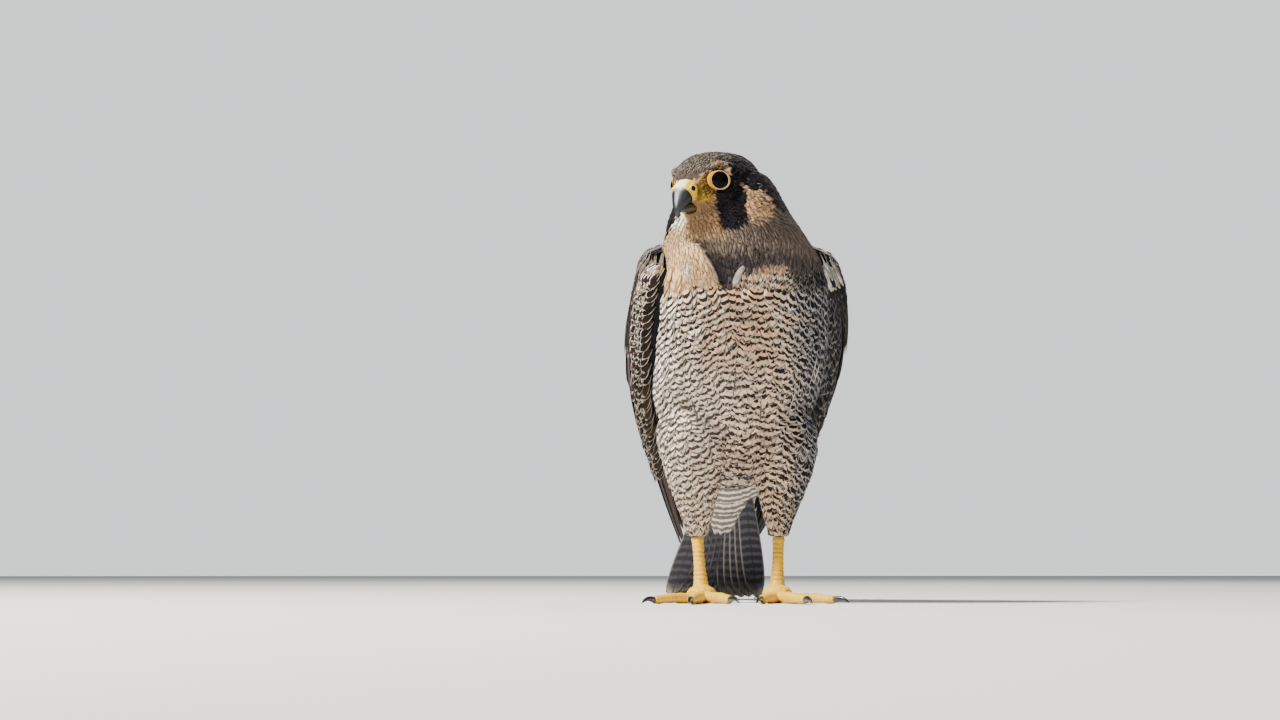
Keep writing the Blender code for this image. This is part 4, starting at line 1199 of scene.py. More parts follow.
class BodyCoat:
    """The small feathers of head, neck, body and thighs, rooted over the skin."""

    # Loose feathers: x and z of the root, lean, length, width and lightness.
    loose = (
        (-3.5, 240, -31, 19, 5.6, 0.36), (57, 186, 1, 26, 1.5, 0.95), (53, 180, 0, 22, 1.1, 0.7),
        (39, 162, 2, 34, 1.2, 0.5), (-38, 150, 1, 26, 1.4, 0.10), (-7, 170, -6, 24, 1.3, 0.12),
        (12, 150, 3, 26, 1.3, 0.12),
    )

    loose_rows = 9
    # Where no feather grows: the half axes of the lids and the eye's reach, the boxes of the cere and of the
    # bill below it (from how far forward, half width, from how low, to how high), and how deep under the
    # wing.
    lids = (8.9, 7.2)
    eye_reach = 12
    bare = ((18.6, 10.6, -9.4, 10.4), (18.0, 7.5, -16.0, -9.0))
    under_wing = 5

    def __init__(self, skin: Skin) -> None:
        """Takes the skin that the feathers are rooted in."""
        self.skin = skin
        self.chance = np.random.default_rng(SEED)
        self.eyes = [Eye.middle_of(side) for side in Side]
        self.covers = [self.tree_of("wing_" + side.word) for side in Side]

    @staticmethod
    def tree_of(node: str) -> BVHTree:
        """A CAD node as a search tree in millimetres."""
        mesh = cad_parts[node].data
        mesh.calc_loop_triangles()
        faces = [tuple(face.vertices) for face in mesh.loop_triangles]
        return BVHTree.FromPolygons(millimetres(points_of(mesh)).tolist(), faces)

    @staticmethod
    def regions(points: np.ndarray) -> np.ndarray:
        """Sorts points of the skin into regions, where a later rule goes before an earlier one.

        Args:
            points: places on the skin.

        Returns:
            The number of each one's region in the order of Region.
        """
        names = [region.name for region in Region]
        local = HEAD.local(points)
        forward, up, z = local[:, 0], local[:, 2], points[:, 2]
        turn = np.abs(np.degrees(TRUNK.turn(points)))
        found = np.full(len(points), names.index("BREAST"))
        for name, where in (
            ("FLANK", (turn > 62) & (z < 232)),
            ("MANTLE", (turn > 112) & (z < 262)),
            ("NECK", (z > 246) | ((z > 229) & (turn < 62))),
            ("THROAT", (z > 262) & (up > -34)),
            ("HEAD", (z > 276) | ((up > -22) & (z > 270))),
            ("FACE", (forward > 9) & (up > -16) & (z > 276)),
            ("THIGH", (z < 88) & (points[:, 1] < 48)),
        ):
            found[where] = names.index(name)
        return found

    def roots(self, region: Region, where: np.ndarray) -> np.ndarray:
        """Spreads roots over a region with no two closer than its spacing.

        Args:
            region: the region.
            where: the triangles of the skin that lie in it.

        Returns:
            The roots' places.
        """
        corners = self.skin.points[self.skin.triangles[where]]
        edges = corners[:, 1:] - corners[:, :1]
        area = np.linalg.norm(np.cross(edges[:, 0], edges[:, 1]), axis=1) / 2
        spacing = region.value.spacing
        tries = int(area.sum() / spacing ** 2 * TRIES)
        if not tries:
            return np.empty((0, 3))
        picked = self.chance.choice(len(where), tries, p=area / area.sum())
        a, b = self.chance.random((2, tries))
        flip = a + b > 1
        a, b = np.where(flip, 1 - a, a), np.where(flip, 1 - b, b)
        c = corners[picked]
        places = c[:, 0] + (c[:, 1] - c[:, 0]) * a[:, None] + (c[:, 2] - c[:, 0]) * b[:, None]
        cells, kept = {}, []
        near = [(i, j, k) for i in (-1, 0, 1) for j in (-1, 0, 1) for k in (-1, 0, 1)]
        for place in places.tolist():
            cell = tuple(int(value // spacing) for value in place)
            close = any(
                sum((p - q) ** 2 for p, q in zip(place, other)) < spacing ** 2
                for i, j, k in near for other in cells.get((cell[0] + i, cell[1] + j, cell[2] + k), ())
            )
            if not close:
                cells.setdefault(cell, []).append(place)
                kept.append(place)
        return np.array(kept)

    def hidden(self, place: np.ndarray, normal: np.ndarray) -> bool:
        """Whether a root lies deep under a folded wing, in an eye or at the bill.

        Args:
            place: the root's place.
            normal: the skin's outward direction there.

        Returns:
            True where no feather grows.
        """
        forward, left, up = HEAD.local(place)
        for middle in self.eyes:
            reach = place - middle
            wide, high = reach @ HEAD.axes[0] / self.lids[0], reach @ HEAD.axes[2] / self.lids[1]
            if np.linalg.norm(reach) < self.eye_reach and wide ** 2 + high ** 2 < 1:
                return True
        for ahead, half, low, high in self.bare:
            if forward > ahead and abs(left) < half and low < up < high:
                return True
        hits = (tree.ray_cast(Vector(place), Vector(normal), 40) for tree in self.covers)
        return any(hit[0] is not None and hit[3] > self.under_wing for hit in hits)

    def walk(
        self, place: Vector, run: float, rows: int, lift: tuple, sway: float, lie: Vector | None,
    ) -> tuple:
        """A shaft laid over the skin, step by step.

        Args:
            place: where it begins.
            run: its length.
            rows: how many places it has.
            lift: how far it stands off the skin at its root, how much more at its tip, and the rise's power.
            sway: how far it is turned from its direction.
            lie: its direction, or None where it lies as the coat does.

        Returns:
            The shaft's places, normals and directions across.
        """
        laid = []
        for i in range(rows):
            place, normal, _, _ = self.skin.tree.find_nearest(place)
            toward = Vector(flock(np.array(place))) if lie is None else lie
            toward = (toward - normal * toward.dot(normal)).normalized()
            toward = Matrix.Rotation(sway, 3, normal) @ toward
            height = lift[0] + lift[1] * (i / (rows - 1)) ** lift[2]
            laid.append((place + normal * height, normal, normal.cross(toward)))
            place = place + toward * (run / (rows - 1))
        return tuple(np.array(part) for part in zip(*laid))

    def strand(self, root: np.ndarray, patch: Patch) -> tuple | None:
        """Lays one feather over the skin from its root.

        Args:
            root: the place of its root.
            patch: its size.

        Returns:
            The shaft's places, normals, directions across and length, or None where it is hidden.
        """
        place, normal, _, _ = self.skin.tree.find_nearest(Vector(root))
        if self.hidden(np.array(place), np.array(normal)):
            return None
        sway = self.chance.normal(0, 0.10)
        run = patch.length * self.chance.uniform(0.88, 1.1)
        lift = (-0.5, patch.rise + 0.5, 0.85)
        return *self.walk(Vector(root), run, patch.rows, lift, sway, None), run

    def build(self, finishes: dict) -> None:
        """Builds every region's feathers.

        Args:
            finishes: the materials by name.
        """
        centres = self.skin.points[self.skin.triangles].mean(axis=1)
        kinds = self.regions(centres)
        for number, region in enumerate(Region):
            patch = region.value
            where = np.flatnonzero(kinds == number)
            roots = self.roots(region, where)
            if not len(roots):
                continue
            headed = region in (Region.FACE, Region.HEAD, Region.THROAT)
            laid = [(root, strand) for root in roots if (strand := self.strand(root, patch)) is not None]
            shown = np.array([strand[0][-2] for _, strand in laid])
            jitter = self.chance.uniform(-1, 1, len(laid))
            look = head_look(shown, jitter) if headed else body_look(shown, jitter)
            vanes = Vanes(patch.rows, patch.columns, thick=0.14 + patch.width * 0.012)
            vanes.camber, vanes.ragged, vanes.round_tip = 0.06, 0.085, 0.18
            vanes.shift = 0.15 if region is Region.FLANK else 0.24
            shares = outline_shares(patch.rows, 0.5, 0.6, 0.36)
            for i, (root, (middle, normal, across, run)) in enumerate(laid):
                half = patch.width / 2 * shares * self.chance.uniform(0.9, 1.12)
                tone = look.tone[i] * (1 + look.mottle[i] * self.chance.uniform(-1, 1))
                mark = (look.bars[i], look.fringe[i] * self.chance.uniform(0.5, 1.15), look.cool[i])
                vanes.add(middle, normal, across, half, run, tone, mark, self.chart(root, headed))
            name = "coat_" + patch.name
            finish_piece(name, vanes.mesh(name, self.chance), finishes["head" if headed else "body"])
        self.accents(finishes)

    def accents(self, finishes: dict) -> None:
        """Builds the few long feathers that lie loose over the breast and belly.

        Args:
            finishes: the materials by name.
        """
        rows = self.loose_rows
        vanes = Vanes(rows, 5, thick=0.3, camber=0.12, ragged=0.02)
        for x, z, lean, length, width, shade in self.loose:
            hit = self.skin.tree.ray_cast(Vector((x, -200, z)), Vector((0, 1, 0)), 400)[0]
            if hit is None:
                continue
            turn = math.radians(lean)
            lie = Vector((math.sin(turn), 0, -math.cos(turn)))
            middle, normal, across = self.walk(hit, length, rows, (0.8, 1.7, 0.7), 0.0, lie)
            half = width / 2 * outline_shares(rows, 0.4, 0.5, 0.1)
            mark = (0.3 * (width > 2), 0.0, 0.6)
            vanes.add(middle, normal, across, half, length, np.array(Tone.TUFT) * shade, mark,
                      self.chart(middle[0], False))
        name = "loose_feathers"
        finish_piece(name, vanes.mesh(name, self.chance), finishes["body"])

    @staticmethod
    def chart(root: np.ndarray, headed: bool) -> tuple:
        """The place of a root on the unwrap of head or body."""
        if headed:
            forward, side, up = HEAD.local(root)
            turn, run = math.atan2(side, up), math.atan2(math.hypot(side, up), forward) / math.pi
        else:
            turn, run = float(TRUNK.turn(root)), float(root[2]) / 330
        return 0.5 + turn / math.tau * 0.98, 0.02 + 0.96 * run


# The folded wings.


@dataclass(frozen=True)
class Tier:
    """One row of wing feathers, from the leading edge to the back."""

    name: str
    count: int
    places: tuple
    roots: tuple
    tips: tuple
    width: float
    lifts: tuple
    tilt: float
    rows: int
    columns: int
    tip_width: float = 0.4


@dataclass
class FoldedWing:
    """A folded wing: an under layer and tiers of overlapping feathers."""

    side: Side
    cloak: tuple = (
        (-17, 252, 74, 28), (3, 224, 80.5, 30), (28, 193, 82, 31), (55, 164, 78.5, 29.5), (84, 135, 69, 27),
        (115, 106, 57, 23.5), (148, 77, 44, 19), (182, 48, 30, 13), (216, 20, 16, 7),
    )
    leading: float = -45
    back: float = 82
    ratio: float = 2.8
    primary_tips: tuple = (0.985, 1.0, 0.978, 0.945, 0.905, 0.865, 0.825, 0.785, 0.75, 0.715)
    # How full the shoulder's upper end is, on the bird's left and on its right.
    full_left: tuple = ((-0.06, 0.54), (-0.04, 0.72), (-0.015, 0.91), (0.02, 0.97), (0.08, 1.0))
    full_right: tuple = ((-0.06, 0.62), (-0.04, 0.82), (-0.015, 0.98), (0.02, 1.02), (0.08, 1.0))
    bar_run: float = 9.0

    def tiers(self) -> list:
        """The tiers, from the shoulder down to the long wing feathers."""
        small = [
            Tier(f"marginal_{k}", 26 - k, (0.03, 0.985), (-0.052 + 0.026 * k,) * 2,
                 (0.012 + 0.029 * k, 0.014 + 0.031 * k), 8.4 + 0.7 * k, (-2.2, 0.75 + 0.06 * k), 7, 7, 5)
            for k in range(8)
        ]
        scapulars = [
            Tier(f"scapular_{k}", 5, (0.84, 1.0), (-0.045 + 0.06 * k,) * 2,
                 (0.10 + 0.075 * k, 0.12 + 0.08 * k), 21, (-1.5, 4.2 + 0.2 * k), 4, 9, 7)
            for k in range(5)
        ]
        return small + [
            Tier("median", 14, (0.05, 0.96), (0.15, 0.15), (0.275, 0.30), 14.5, (-1.4, 1.0), 7, 9, 7),
            Tier("greater", 14, (0.06, 0.95), (0.21, 0.21), (0.385, 0.435), 14.5, (-1.4, 1.3), 7, 11, 7,
                 0.45),
            Tier("alula", 3, (0.25, 0.278), (0.12, 0.13), (0.265, 0.275), 9.5, (0.2, 2.1), 4, 9, 5, 0.5),
            Tier("secondary", 13, (0.30, 0.965), (0.31, 0.31), (0.635, 0.675), 16, (-1.4, 2.2), 7, 14, 9,
                 0.5),
            Tier("primary", 10, (0.05, 0.80), (0.37, 0.39), (1.0, 0.71), 15, (-2.4, 2.0), 7, 18, 7, 0.3),
        ] + scapulars

    def arc_place(self, q: float) -> float:
        """The angle at the share q of the way from the leading edge to the back."""
        turns = np.radians(np.linspace(self.leading, self.back, 91))
        runs = np.hypot(np.diff(np.cos(turns)) * self.ratio, np.diff(np.sin(turns)))
        whole = np.concatenate([[0], np.cumsum(runs)])
        return float(np.interp(q * whole[-1], whole, turns))

    @staticmethod
    def chart(q: float, u: float) -> tuple:
        """The place on the unwrap of the wing."""
        return 0.02 + 0.96 * q, 0.98 - 0.9 * (u + 0.05)

    def point(self, u: float, turn: float, lift: float) -> tuple:
        """A place on the cloak, its outward normal and its direction along the wing.

        Args:
            u: the share of the way from the shoulder to the tip.
            turn: the angle round the cloak.
            lift: how far it stands off the cloak.

        Returns:
            Place, normal and direction, as vectors.
        """
        y, z, wide, deep = curve_row(self.cloak, u)
        past = min(u, 0.0) * (len(self.cloak) - 1)
        y += past * (self.cloak[1][0] - self.cloak[0][0])
        z += past * (self.cloak[1][1] - self.cloak[0][1])
        scale = float(read_off(u, self.full_right if self.side is Side.RIGHT else self.full_left))
        after, before = curve_row(self.cloak, u + 0.01), curve_row(self.cloak, u - 0.01)
        along = Vector((0, after[0] - before[0], after[1] - before[1])).normalized()
        dorsal = Vector((0, -along.z, along.y))
        c, s = math.cos(turn), math.sin(turn)
        normal = (Vector((1, 0, 0)) * deep * c + dorsal * wide * s).normalized()
        out = (Vector((1, 0, 0)) * wide * c + dorsal * deep * s) * scale
        return Vector((0, y, z)) + out + normal * lift, normal, along

    def lay(self, tier: Tier, index: int, chance: np.random.Generator) -> tuple:
        """The shaft of one feather.

        Args:
            tier: its tier.
            index: its number from the leading edge.
            chance: the source of random numbers.

        Returns:
            Places, normals, directions across, half widths, length, q and the tip's u.
        """
        k = index / max(tier.count - 1, 1)
        q, root, tip = (ends[0] + (ends[1] - ends[0]) * k for ends in (tier.places, tier.roots, tier.tips))
        q += chance.uniform(-0.006, 0.006)
        tip += chance.uniform(-0.004, 0.004)
        primary = tier.name == "primary"
        if primary:
            tip = self.primary_tips[index]
        if self.side is Side.RIGHT:
            q = max(q, 0.062 + tier.width / 2 * 0.0093)
        turn = self.arc_place(q)
        steps = np.linspace(0, 1, tier.rows)
        rise = 0.55 if tier.name in ("median", "greater", "secondary", "alula") else 0.9
        low, high = tier.lifts[0], tier.lifts[1] * (0.7 + 0.5 * k)
        laid = [self.point(root + (tip - root) * s, turn, low + (high - low) * s ** rise) for s in steps]
        places = [place for place, _, _ in laid]
        normals, across = [], []
        lean = math.radians(tier.tilt)
        for i, (_, normal, _) in enumerate(laid):
            ahead = places[min(i + 1, len(places) - 1)] - places[max(i - 1, 0)]
            flat = normal.cross(ahead).normalized()
            square = ahead.cross(flat).normalized()
            square = -square if square.dot(normal) < 0 else square
            toward = 1.0 if flat.dot(Vector((0, -0.7, -0.7))) > 0 else -1.0
            across.append(flat * math.cos(lean) + square * math.sin(lean) * toward)
            up = across[-1].cross(ahead).normalized()
            normals.append(-up if up.dot(normal) < 0 else up)
        length = sum((b - a).length for a, b in zip(places, places[1:]))
        shares = outline_shares(tier.rows, 0.5, 0.5 if primary else 0.62, tier.tip_width)
        u = root + (tip - root) * steps
        narrow = (1 - 0.38 * np.clip((u - 0.55) / 0.45, 0, 1)) * (0.52 + 0.48 * float(ease(q, 0.2, 0.46)))
        half = tier.width / 2 * shares * narrow
        return np.array(places), np.array(normals), np.array(across), half, length, q, tip

    def look(self, tier: Tier, q: float, u: float, chance: np.random.Generator) -> tuple:
        """The colour and markings of one feather.

        Args:
            tier: its tier.
            q: its place round the wing.
            u: its tip's place along the wing.
            chance: the source of random numbers.

        Returns:
            Its colour, and the strength of its bars, of its fringe and how cool it is.
        """
        # The bird's left wing is painted in shade: dark, the smaller warm share and the weaker fringes
        # darken and cool its front.
        shaded = self.side is Side.LEFT
        near = 1 - float(ease(q, 0.22, 0.34))
        dark = shaded * (1 - float(ease(q, 0.34, 0.50)))
        warm = near * (0.35 if shaded else 1.0)
        tone = mixed(np.array(Tone.MANTLE), Tone.BROWN, warm) * (0.75 - 0.62 * dark)
        if tier.name in ("primary", "alula"):
            tone = tone * (0.45 if tier.name == "primary" else 0.12)
        tone = tone * chance.uniform(0.84, 1.12)
        fringe = (0.22 + 0.7 * near) * (1 - 0.85 * dark)
        # Inner-side feathers next to the body are darkened: painted shade in the gap between wing and body.
        if q < 0.11 and u > 0.08:
            tone, fringe = tone * 0.5, 0.1
        if tier.name == "primary":
            fringe = 0.15
        if tier.name == "alula":
            return tone, (0.0, 0.45, 0.4)
        # Pale shoulder feathers, brightest on the shaded wing: partly their own cream, partly a painted
        # highlight where light falls on the shoulder.
        if tier.name.startswith("marginal") and u < (0.085 if shaded else 0.05) and q < 0.33:
            tone = mixed(tone, Tone.TUFT, chance.choice((0.0, 0.4, 0.95)) if shaded else 0.1)
            fringe = 1.0
        bars = 0.5 if q > 0.3 or tier.name in ("secondary", "median", "greater") else 0.25
        return tone, (bars, fringe * chance.uniform(0.75, 1.1), 1 - 0.6 * warm)

    def put(self, vanes: Vanes, middle: np.ndarray, normal: object, across: object, *rest: object) -> None:
        """Adds a feather of the left wing to a batch, brought to this side."""
        turned = np.array([self.side.value, 1, 1])
        across = np.array(across) * turned * self.side.value
        vanes.add(middle * turned, np.array(normal) * turned, across, *rest)

    def build(self, finishes: dict) -> None:
        """Builds the wing's pieces.

        Args:
            finishes: the materials by name.
        """
        chance = np.random.default_rng(SEED + 1)
        word = self.side.word
        core = self.underlay()
        # The wing's core is black painted shade under its feathers.
        finish_piece(f"wing_core_{word}", core, finishes["dark"], (f"wing_{word}",), 0.0)
        batches = {}
        for tier in self.tiers():
            group = "coverts" if tier.columns == 5 else "quills"
            vanes = batches.setdefault(
                (group, tier.rows, tier.columns),
                Vanes(tier.rows, tier.columns, thick=0.55, camber=0.09, ragged=0.012))
            for index in range(tier.count):
                middle, normal, across, half, length, q, tip = self.lay(tier, index, chance)
                tone, mark = self.look(tier, q, tip, chance)
                phase = (0.35, 0.35 + length / self.bar_run)
                self.put(vanes, middle, normal, across, half, length, tone, mark, self.chart(q, tip), phase)
        for (group, rows, columns), vanes in batches.items():
            name = f"wing_{group}_{rows}_{columns}_{word}"
            finish_piece(name, vanes.mesh(name, chance), finishes["wing"])
        name = f"wing_edge_{word}"
        edge = self.edge(chance)
        finish_piece(name, edge.mesh(name, chance), finishes["edge"])

    def edge(self, chance: np.random.Generator) -> Vanes:
        """The small feathers along the leading edge, which fan out from its middle line.

        Args:
            chance: the source of random numbers.

        Returns:
            The batch of feathers.
        """
        rows = 6
        vanes = Vanes(rows, 5, thick=0.3, camber=0.1, ragged=0.04)
        right = self.side is Side.RIGHT
        places, size, count, wide = ((0.074, 0.205), 1.0, 6, 2.9) if right else ((0.0, 0.19), 1.5, 5, 3.3)
        spine = sum(places) / 2
        half = wide * size * outline_shares(rows, 0.5, 0.55, 0.25)
        steps = np.linspace(0, 1, rows)[:, None]
        for row, u in enumerate(np.arange(-0.04, 0.60, 0.0185 * size)):
            for column in range(count):
                q = places[0] + (places[1] - places[0]) * (column + 0.5 * (row % 2)) / (count - 0.5)
                q += chance.uniform(-0.003, 0.003)
                place, normal, along = self.point(u + chance.uniform(-0.004, 0.004), self.arc_place(q), 0.6)
                turn = (spine - q) * 4.0 + chance.normal(0, 0.07)
                turn += 0.42 * right * (1 - float(ease(u, 0.10, 0.34)))
                ahead = Matrix.Rotation(turn, 3, normal) @ along
                run = 12.5 * size * chance.uniform(0.88, 1.12) * (1.3 if u > 0.3 else 1.0)
                lift = -0.9 + 2.7 * steps ** 0.9
                middle = np.array(place) + np.array(ahead) * run * steps + np.array(normal) * lift
                tone, mark = self.edge_look(u, q, chance)
                phase = ((0.0, 1.0),) if right else ()
                self.put(vanes, middle, normal, normal.cross(ahead), half, run, tone, mark,
                         self.chart(q, u), *phase)
        return vanes

    def edge_look(self, u: float, q: float, chance: np.random.Generator) -> tuple:
        """The colour and markings of one small feather of the leading edge.

        Args:
            u: its place along the wing.
            q: its place round the wing.
            chance: the source of random numbers.

        Returns:
            Its colour, and the strength of its bars, of its fringe and how cool it is.
        """
        if self.side is Side.RIGHT:
            tone = np.array(Tone.BROWN) * chance.uniform(0.03, 0.3)
            if chance.random() < 0.3 * (1 - float(ease(u, 0.0, 0.13))):
                tone = np.array(Tone.THROAT) * chance.uniform(0.3, 0.8)
            pale = chance.uniform(0.7, 1.3) * (1 - 0.55 * float(ease(u, 0.2, 0.45)))
            return tone, (0.0, pale, 0.2)
        # Bird's left wing: a pale top that is partly its own cream and partly a painted highlight; below it
        # dark feathers in painted shade.
        top = float(ease(u, 0.075, 0.045) * ease(q, 0.05, 0.11))
        if chance.random() < 0.7 * top:
            return np.array(Tone.TUFT) * chance.uniform(0.8, 1.15), (0.5, 1.0, 0.5)
        return np.array(Tone.FLANK) * chance.uniform(0.08, 0.26), (1.0, 0.3 + 0.5 * top, 1.0)

    def underlay(self) -> bpy.types.Mesh:
        """The dark layer under the feathers, a thick sheet bent round the cloak: painted shade that shows
        between the feathers.
        """
        bm = bmesh.new()
        bmesh.ops.create_grid(bm, x_segments=24, y_segments=26, size=1.0)
        low, high = math.radians(self.leading + 3), math.radians(self.back)
        for vert in bm.verts:
            turn = low + (high - low) * (vert.co.x + 1) / 2
            u = -0.055 + 0.53 * (vert.co.y + 1) / 2
            place, _, _ = self.point(u, turn, -2.6)
            vert.co = Vector(metres(np.array(place) * (self.side.value, 1, 1)))
        made = modified(plain_mesh(bm, "sheet"), ("SOLIDIFY", {"thickness": 0.0018, "offset": 0.0}))
        bm = bmesh.new()
        bm.from_mesh(made)
        return mesh_from(bm, "wing_core")


# The tail.


@dataclass
class Tail:
    """Twelve long feathers in a closed fan with the coverts over and under them."""

    root: tuple = (0, 92, 96)
    slope: float = 35.55
    length: float = 163
    pairs: int = 6
    width: float = 18
    lowest: float = 1.4
    # The rows of coverts: count, length, width, height over the root, spread and shift back.
    coverts: tuple = (
        (7, 60, 15, 5.5, 36, 10), (8, 52, 15, 9.0, 40, -4), (8, 46, 15, 12.5, 44, -18),
        (8, 40, 15, 16.0, 46, -26), (7, 66, 15, -6.0, 30, 6), (7, 60, 15, -9.5, 38, -8),
        (7, 56, 15, -13.5, 44, -20), (8, 52, 15, -17.0, 46, -30),
    )

    def axes(self) -> tuple:
        """The tail's direction and its upward normal."""
        c, s = math.cos(math.radians(self.slope)), math.sin(math.radians(self.slope))
        return np.array([0, c, -s]), np.array([0, s, c])

    def feather(self, side: int, rank: int, vanes: Vanes, chance: np.random.Generator) -> None:
        """Adds one long feather, the middle pair on top.

        Args:
            side: 1 for the bird's left, -1 for its right.
            rank: its number from the middle.
            vanes: the batch that it goes into.
            chance: the source of random numbers.
        """
        ahead, up = self.axes()
        splay = math.radians(1.1 + 1.55 * rank) * side
        along = ahead * math.cos(splay) + np.array([1, 0, 0]) * math.sin(splay)
        start = np.array(self.root) + np.array([side * (1.2 + 2.1 * rank), 0, 0])
        start = start - up * (0.82 * rank + (0.41 if side < 0 else 0))
        lean = math.radians(4) * side
        across = np.array([1, 0, 0]) * math.cos(splay) - ahead * math.sin(splay)
        across = across * math.cos(lean) - up * math.sin(lean)
        normal = unit(np.cross(along, across))
        if normal @ up < 0:
            normal = -normal
        length = self.length - rank
        middle = start + along * length * np.linspace(0, 1, vanes.rows)[:, None]
        middle[:, 2] = np.maximum(middle[:, 2], self.lowest)
        half = self.width / 2 * outline_shares(vanes.rows, 0.55, 0.72, 0.42)
        tone = mixed(np.array(Tone.MANTLE), Tone.BROWN, 0.25) * chance.uniform(0.85, 1.1)
        chart = (0.5 + side * (0.04 + 0.07 * rank), 0.4)
        phase = (0.2, 0.2 + length / 11)
        vanes.add(middle, normal, across, half, length, tone, (0.9, 0.4, 0.8), chart, phase)

    def covert(self, row: tuple, index: int, vanes: Vanes, chance: np.random.Generator) -> None:
        """Adds one covert.

        Args:
            row: its row of the table.
            index: its number in the row.
            vanes: the batch that it goes into.
            chance: the source of random numbers.
        """
        count, length, width, height, spread, shift = row
        ahead, up = self.axes()
        k = 2 * index / (count - 1) - 1
        side = math.copysign(1.0, height)
        edge = np.array([spread / 2 * k, 0, 0])
        root = np.array(self.root) + edge * 0.62 + up * (height - side * 2.2 * k * k) + ahead * shift
        drop = 1.4 - abs(height) * (0.4 if side > 0 else 0.72)
        tip = root + ahead * length * (1 - 0.16 * k * k) + edge * 0.35 + up * side * drop
        lean = math.radians(13) * k * side
        along = unit(tip - root)
        across = np.array([math.cos(lean), 0, 0]) - up * math.sin(lean)
        across = unit(across - along * (across @ along))
        normal = np.cross(along, across)
        normal = normal if (normal @ up) * side > 0 else -normal
        steps = np.linspace(0, 1, vanes.rows)[:, None]
        middle = root + (tip - root) * steps + up * (np.sin(steps * math.pi) * side * 1.2)
        half = width / 2 * outline_shares(vanes.rows, 0.5, 0.6, 0.35)
        tone = np.array(Tone.MANTLE if side > 0 else Tone.WHITE) * chance.uniform(0.88, 1.08)
        mark = (0.7, 0.6, 0.9) if side > 0 else (0.8, 0.2, 0.5)
        chart = (0.5 + 0.4 * k, 0.7 + 0.0012 * shift + 0.1 * (side < 0))
        vanes.add(middle, normal, across, half, length, tone, mark, chart, (0.1, 0.1 + length / 9))

    def build(self, finishes: dict) -> None:
        """Builds the tail's pieces.

        Args:
            finishes: the materials by name.
        """
        chance = np.random.default_rng(SEED + 2)
        quills = Vanes(18, 9, thick=0.6, camber=0.05, ragged=0.008, round_tip=0.05)
        for rank in range(self.pairs):
            for side in (1, -1):
                self.feather(side, rank, quills, chance)
        mesh = quills.mesh("tail_quills", chance)
        finish_piece("tail_quills", mesh, finishes["wing"], ("tail",))
        coverts = Vanes(9, 7, thick=0.5, camber=0.12, ragged=0.02)
        for row in self.coverts:
            for index in range(row[0]):
                self.covert(row, index, coverts, chance)
        mesh = coverts.mesh("tail_coverts", chance)
        finish_piece("tail_coverts", mesh, finishes["body"])


# Head parts.


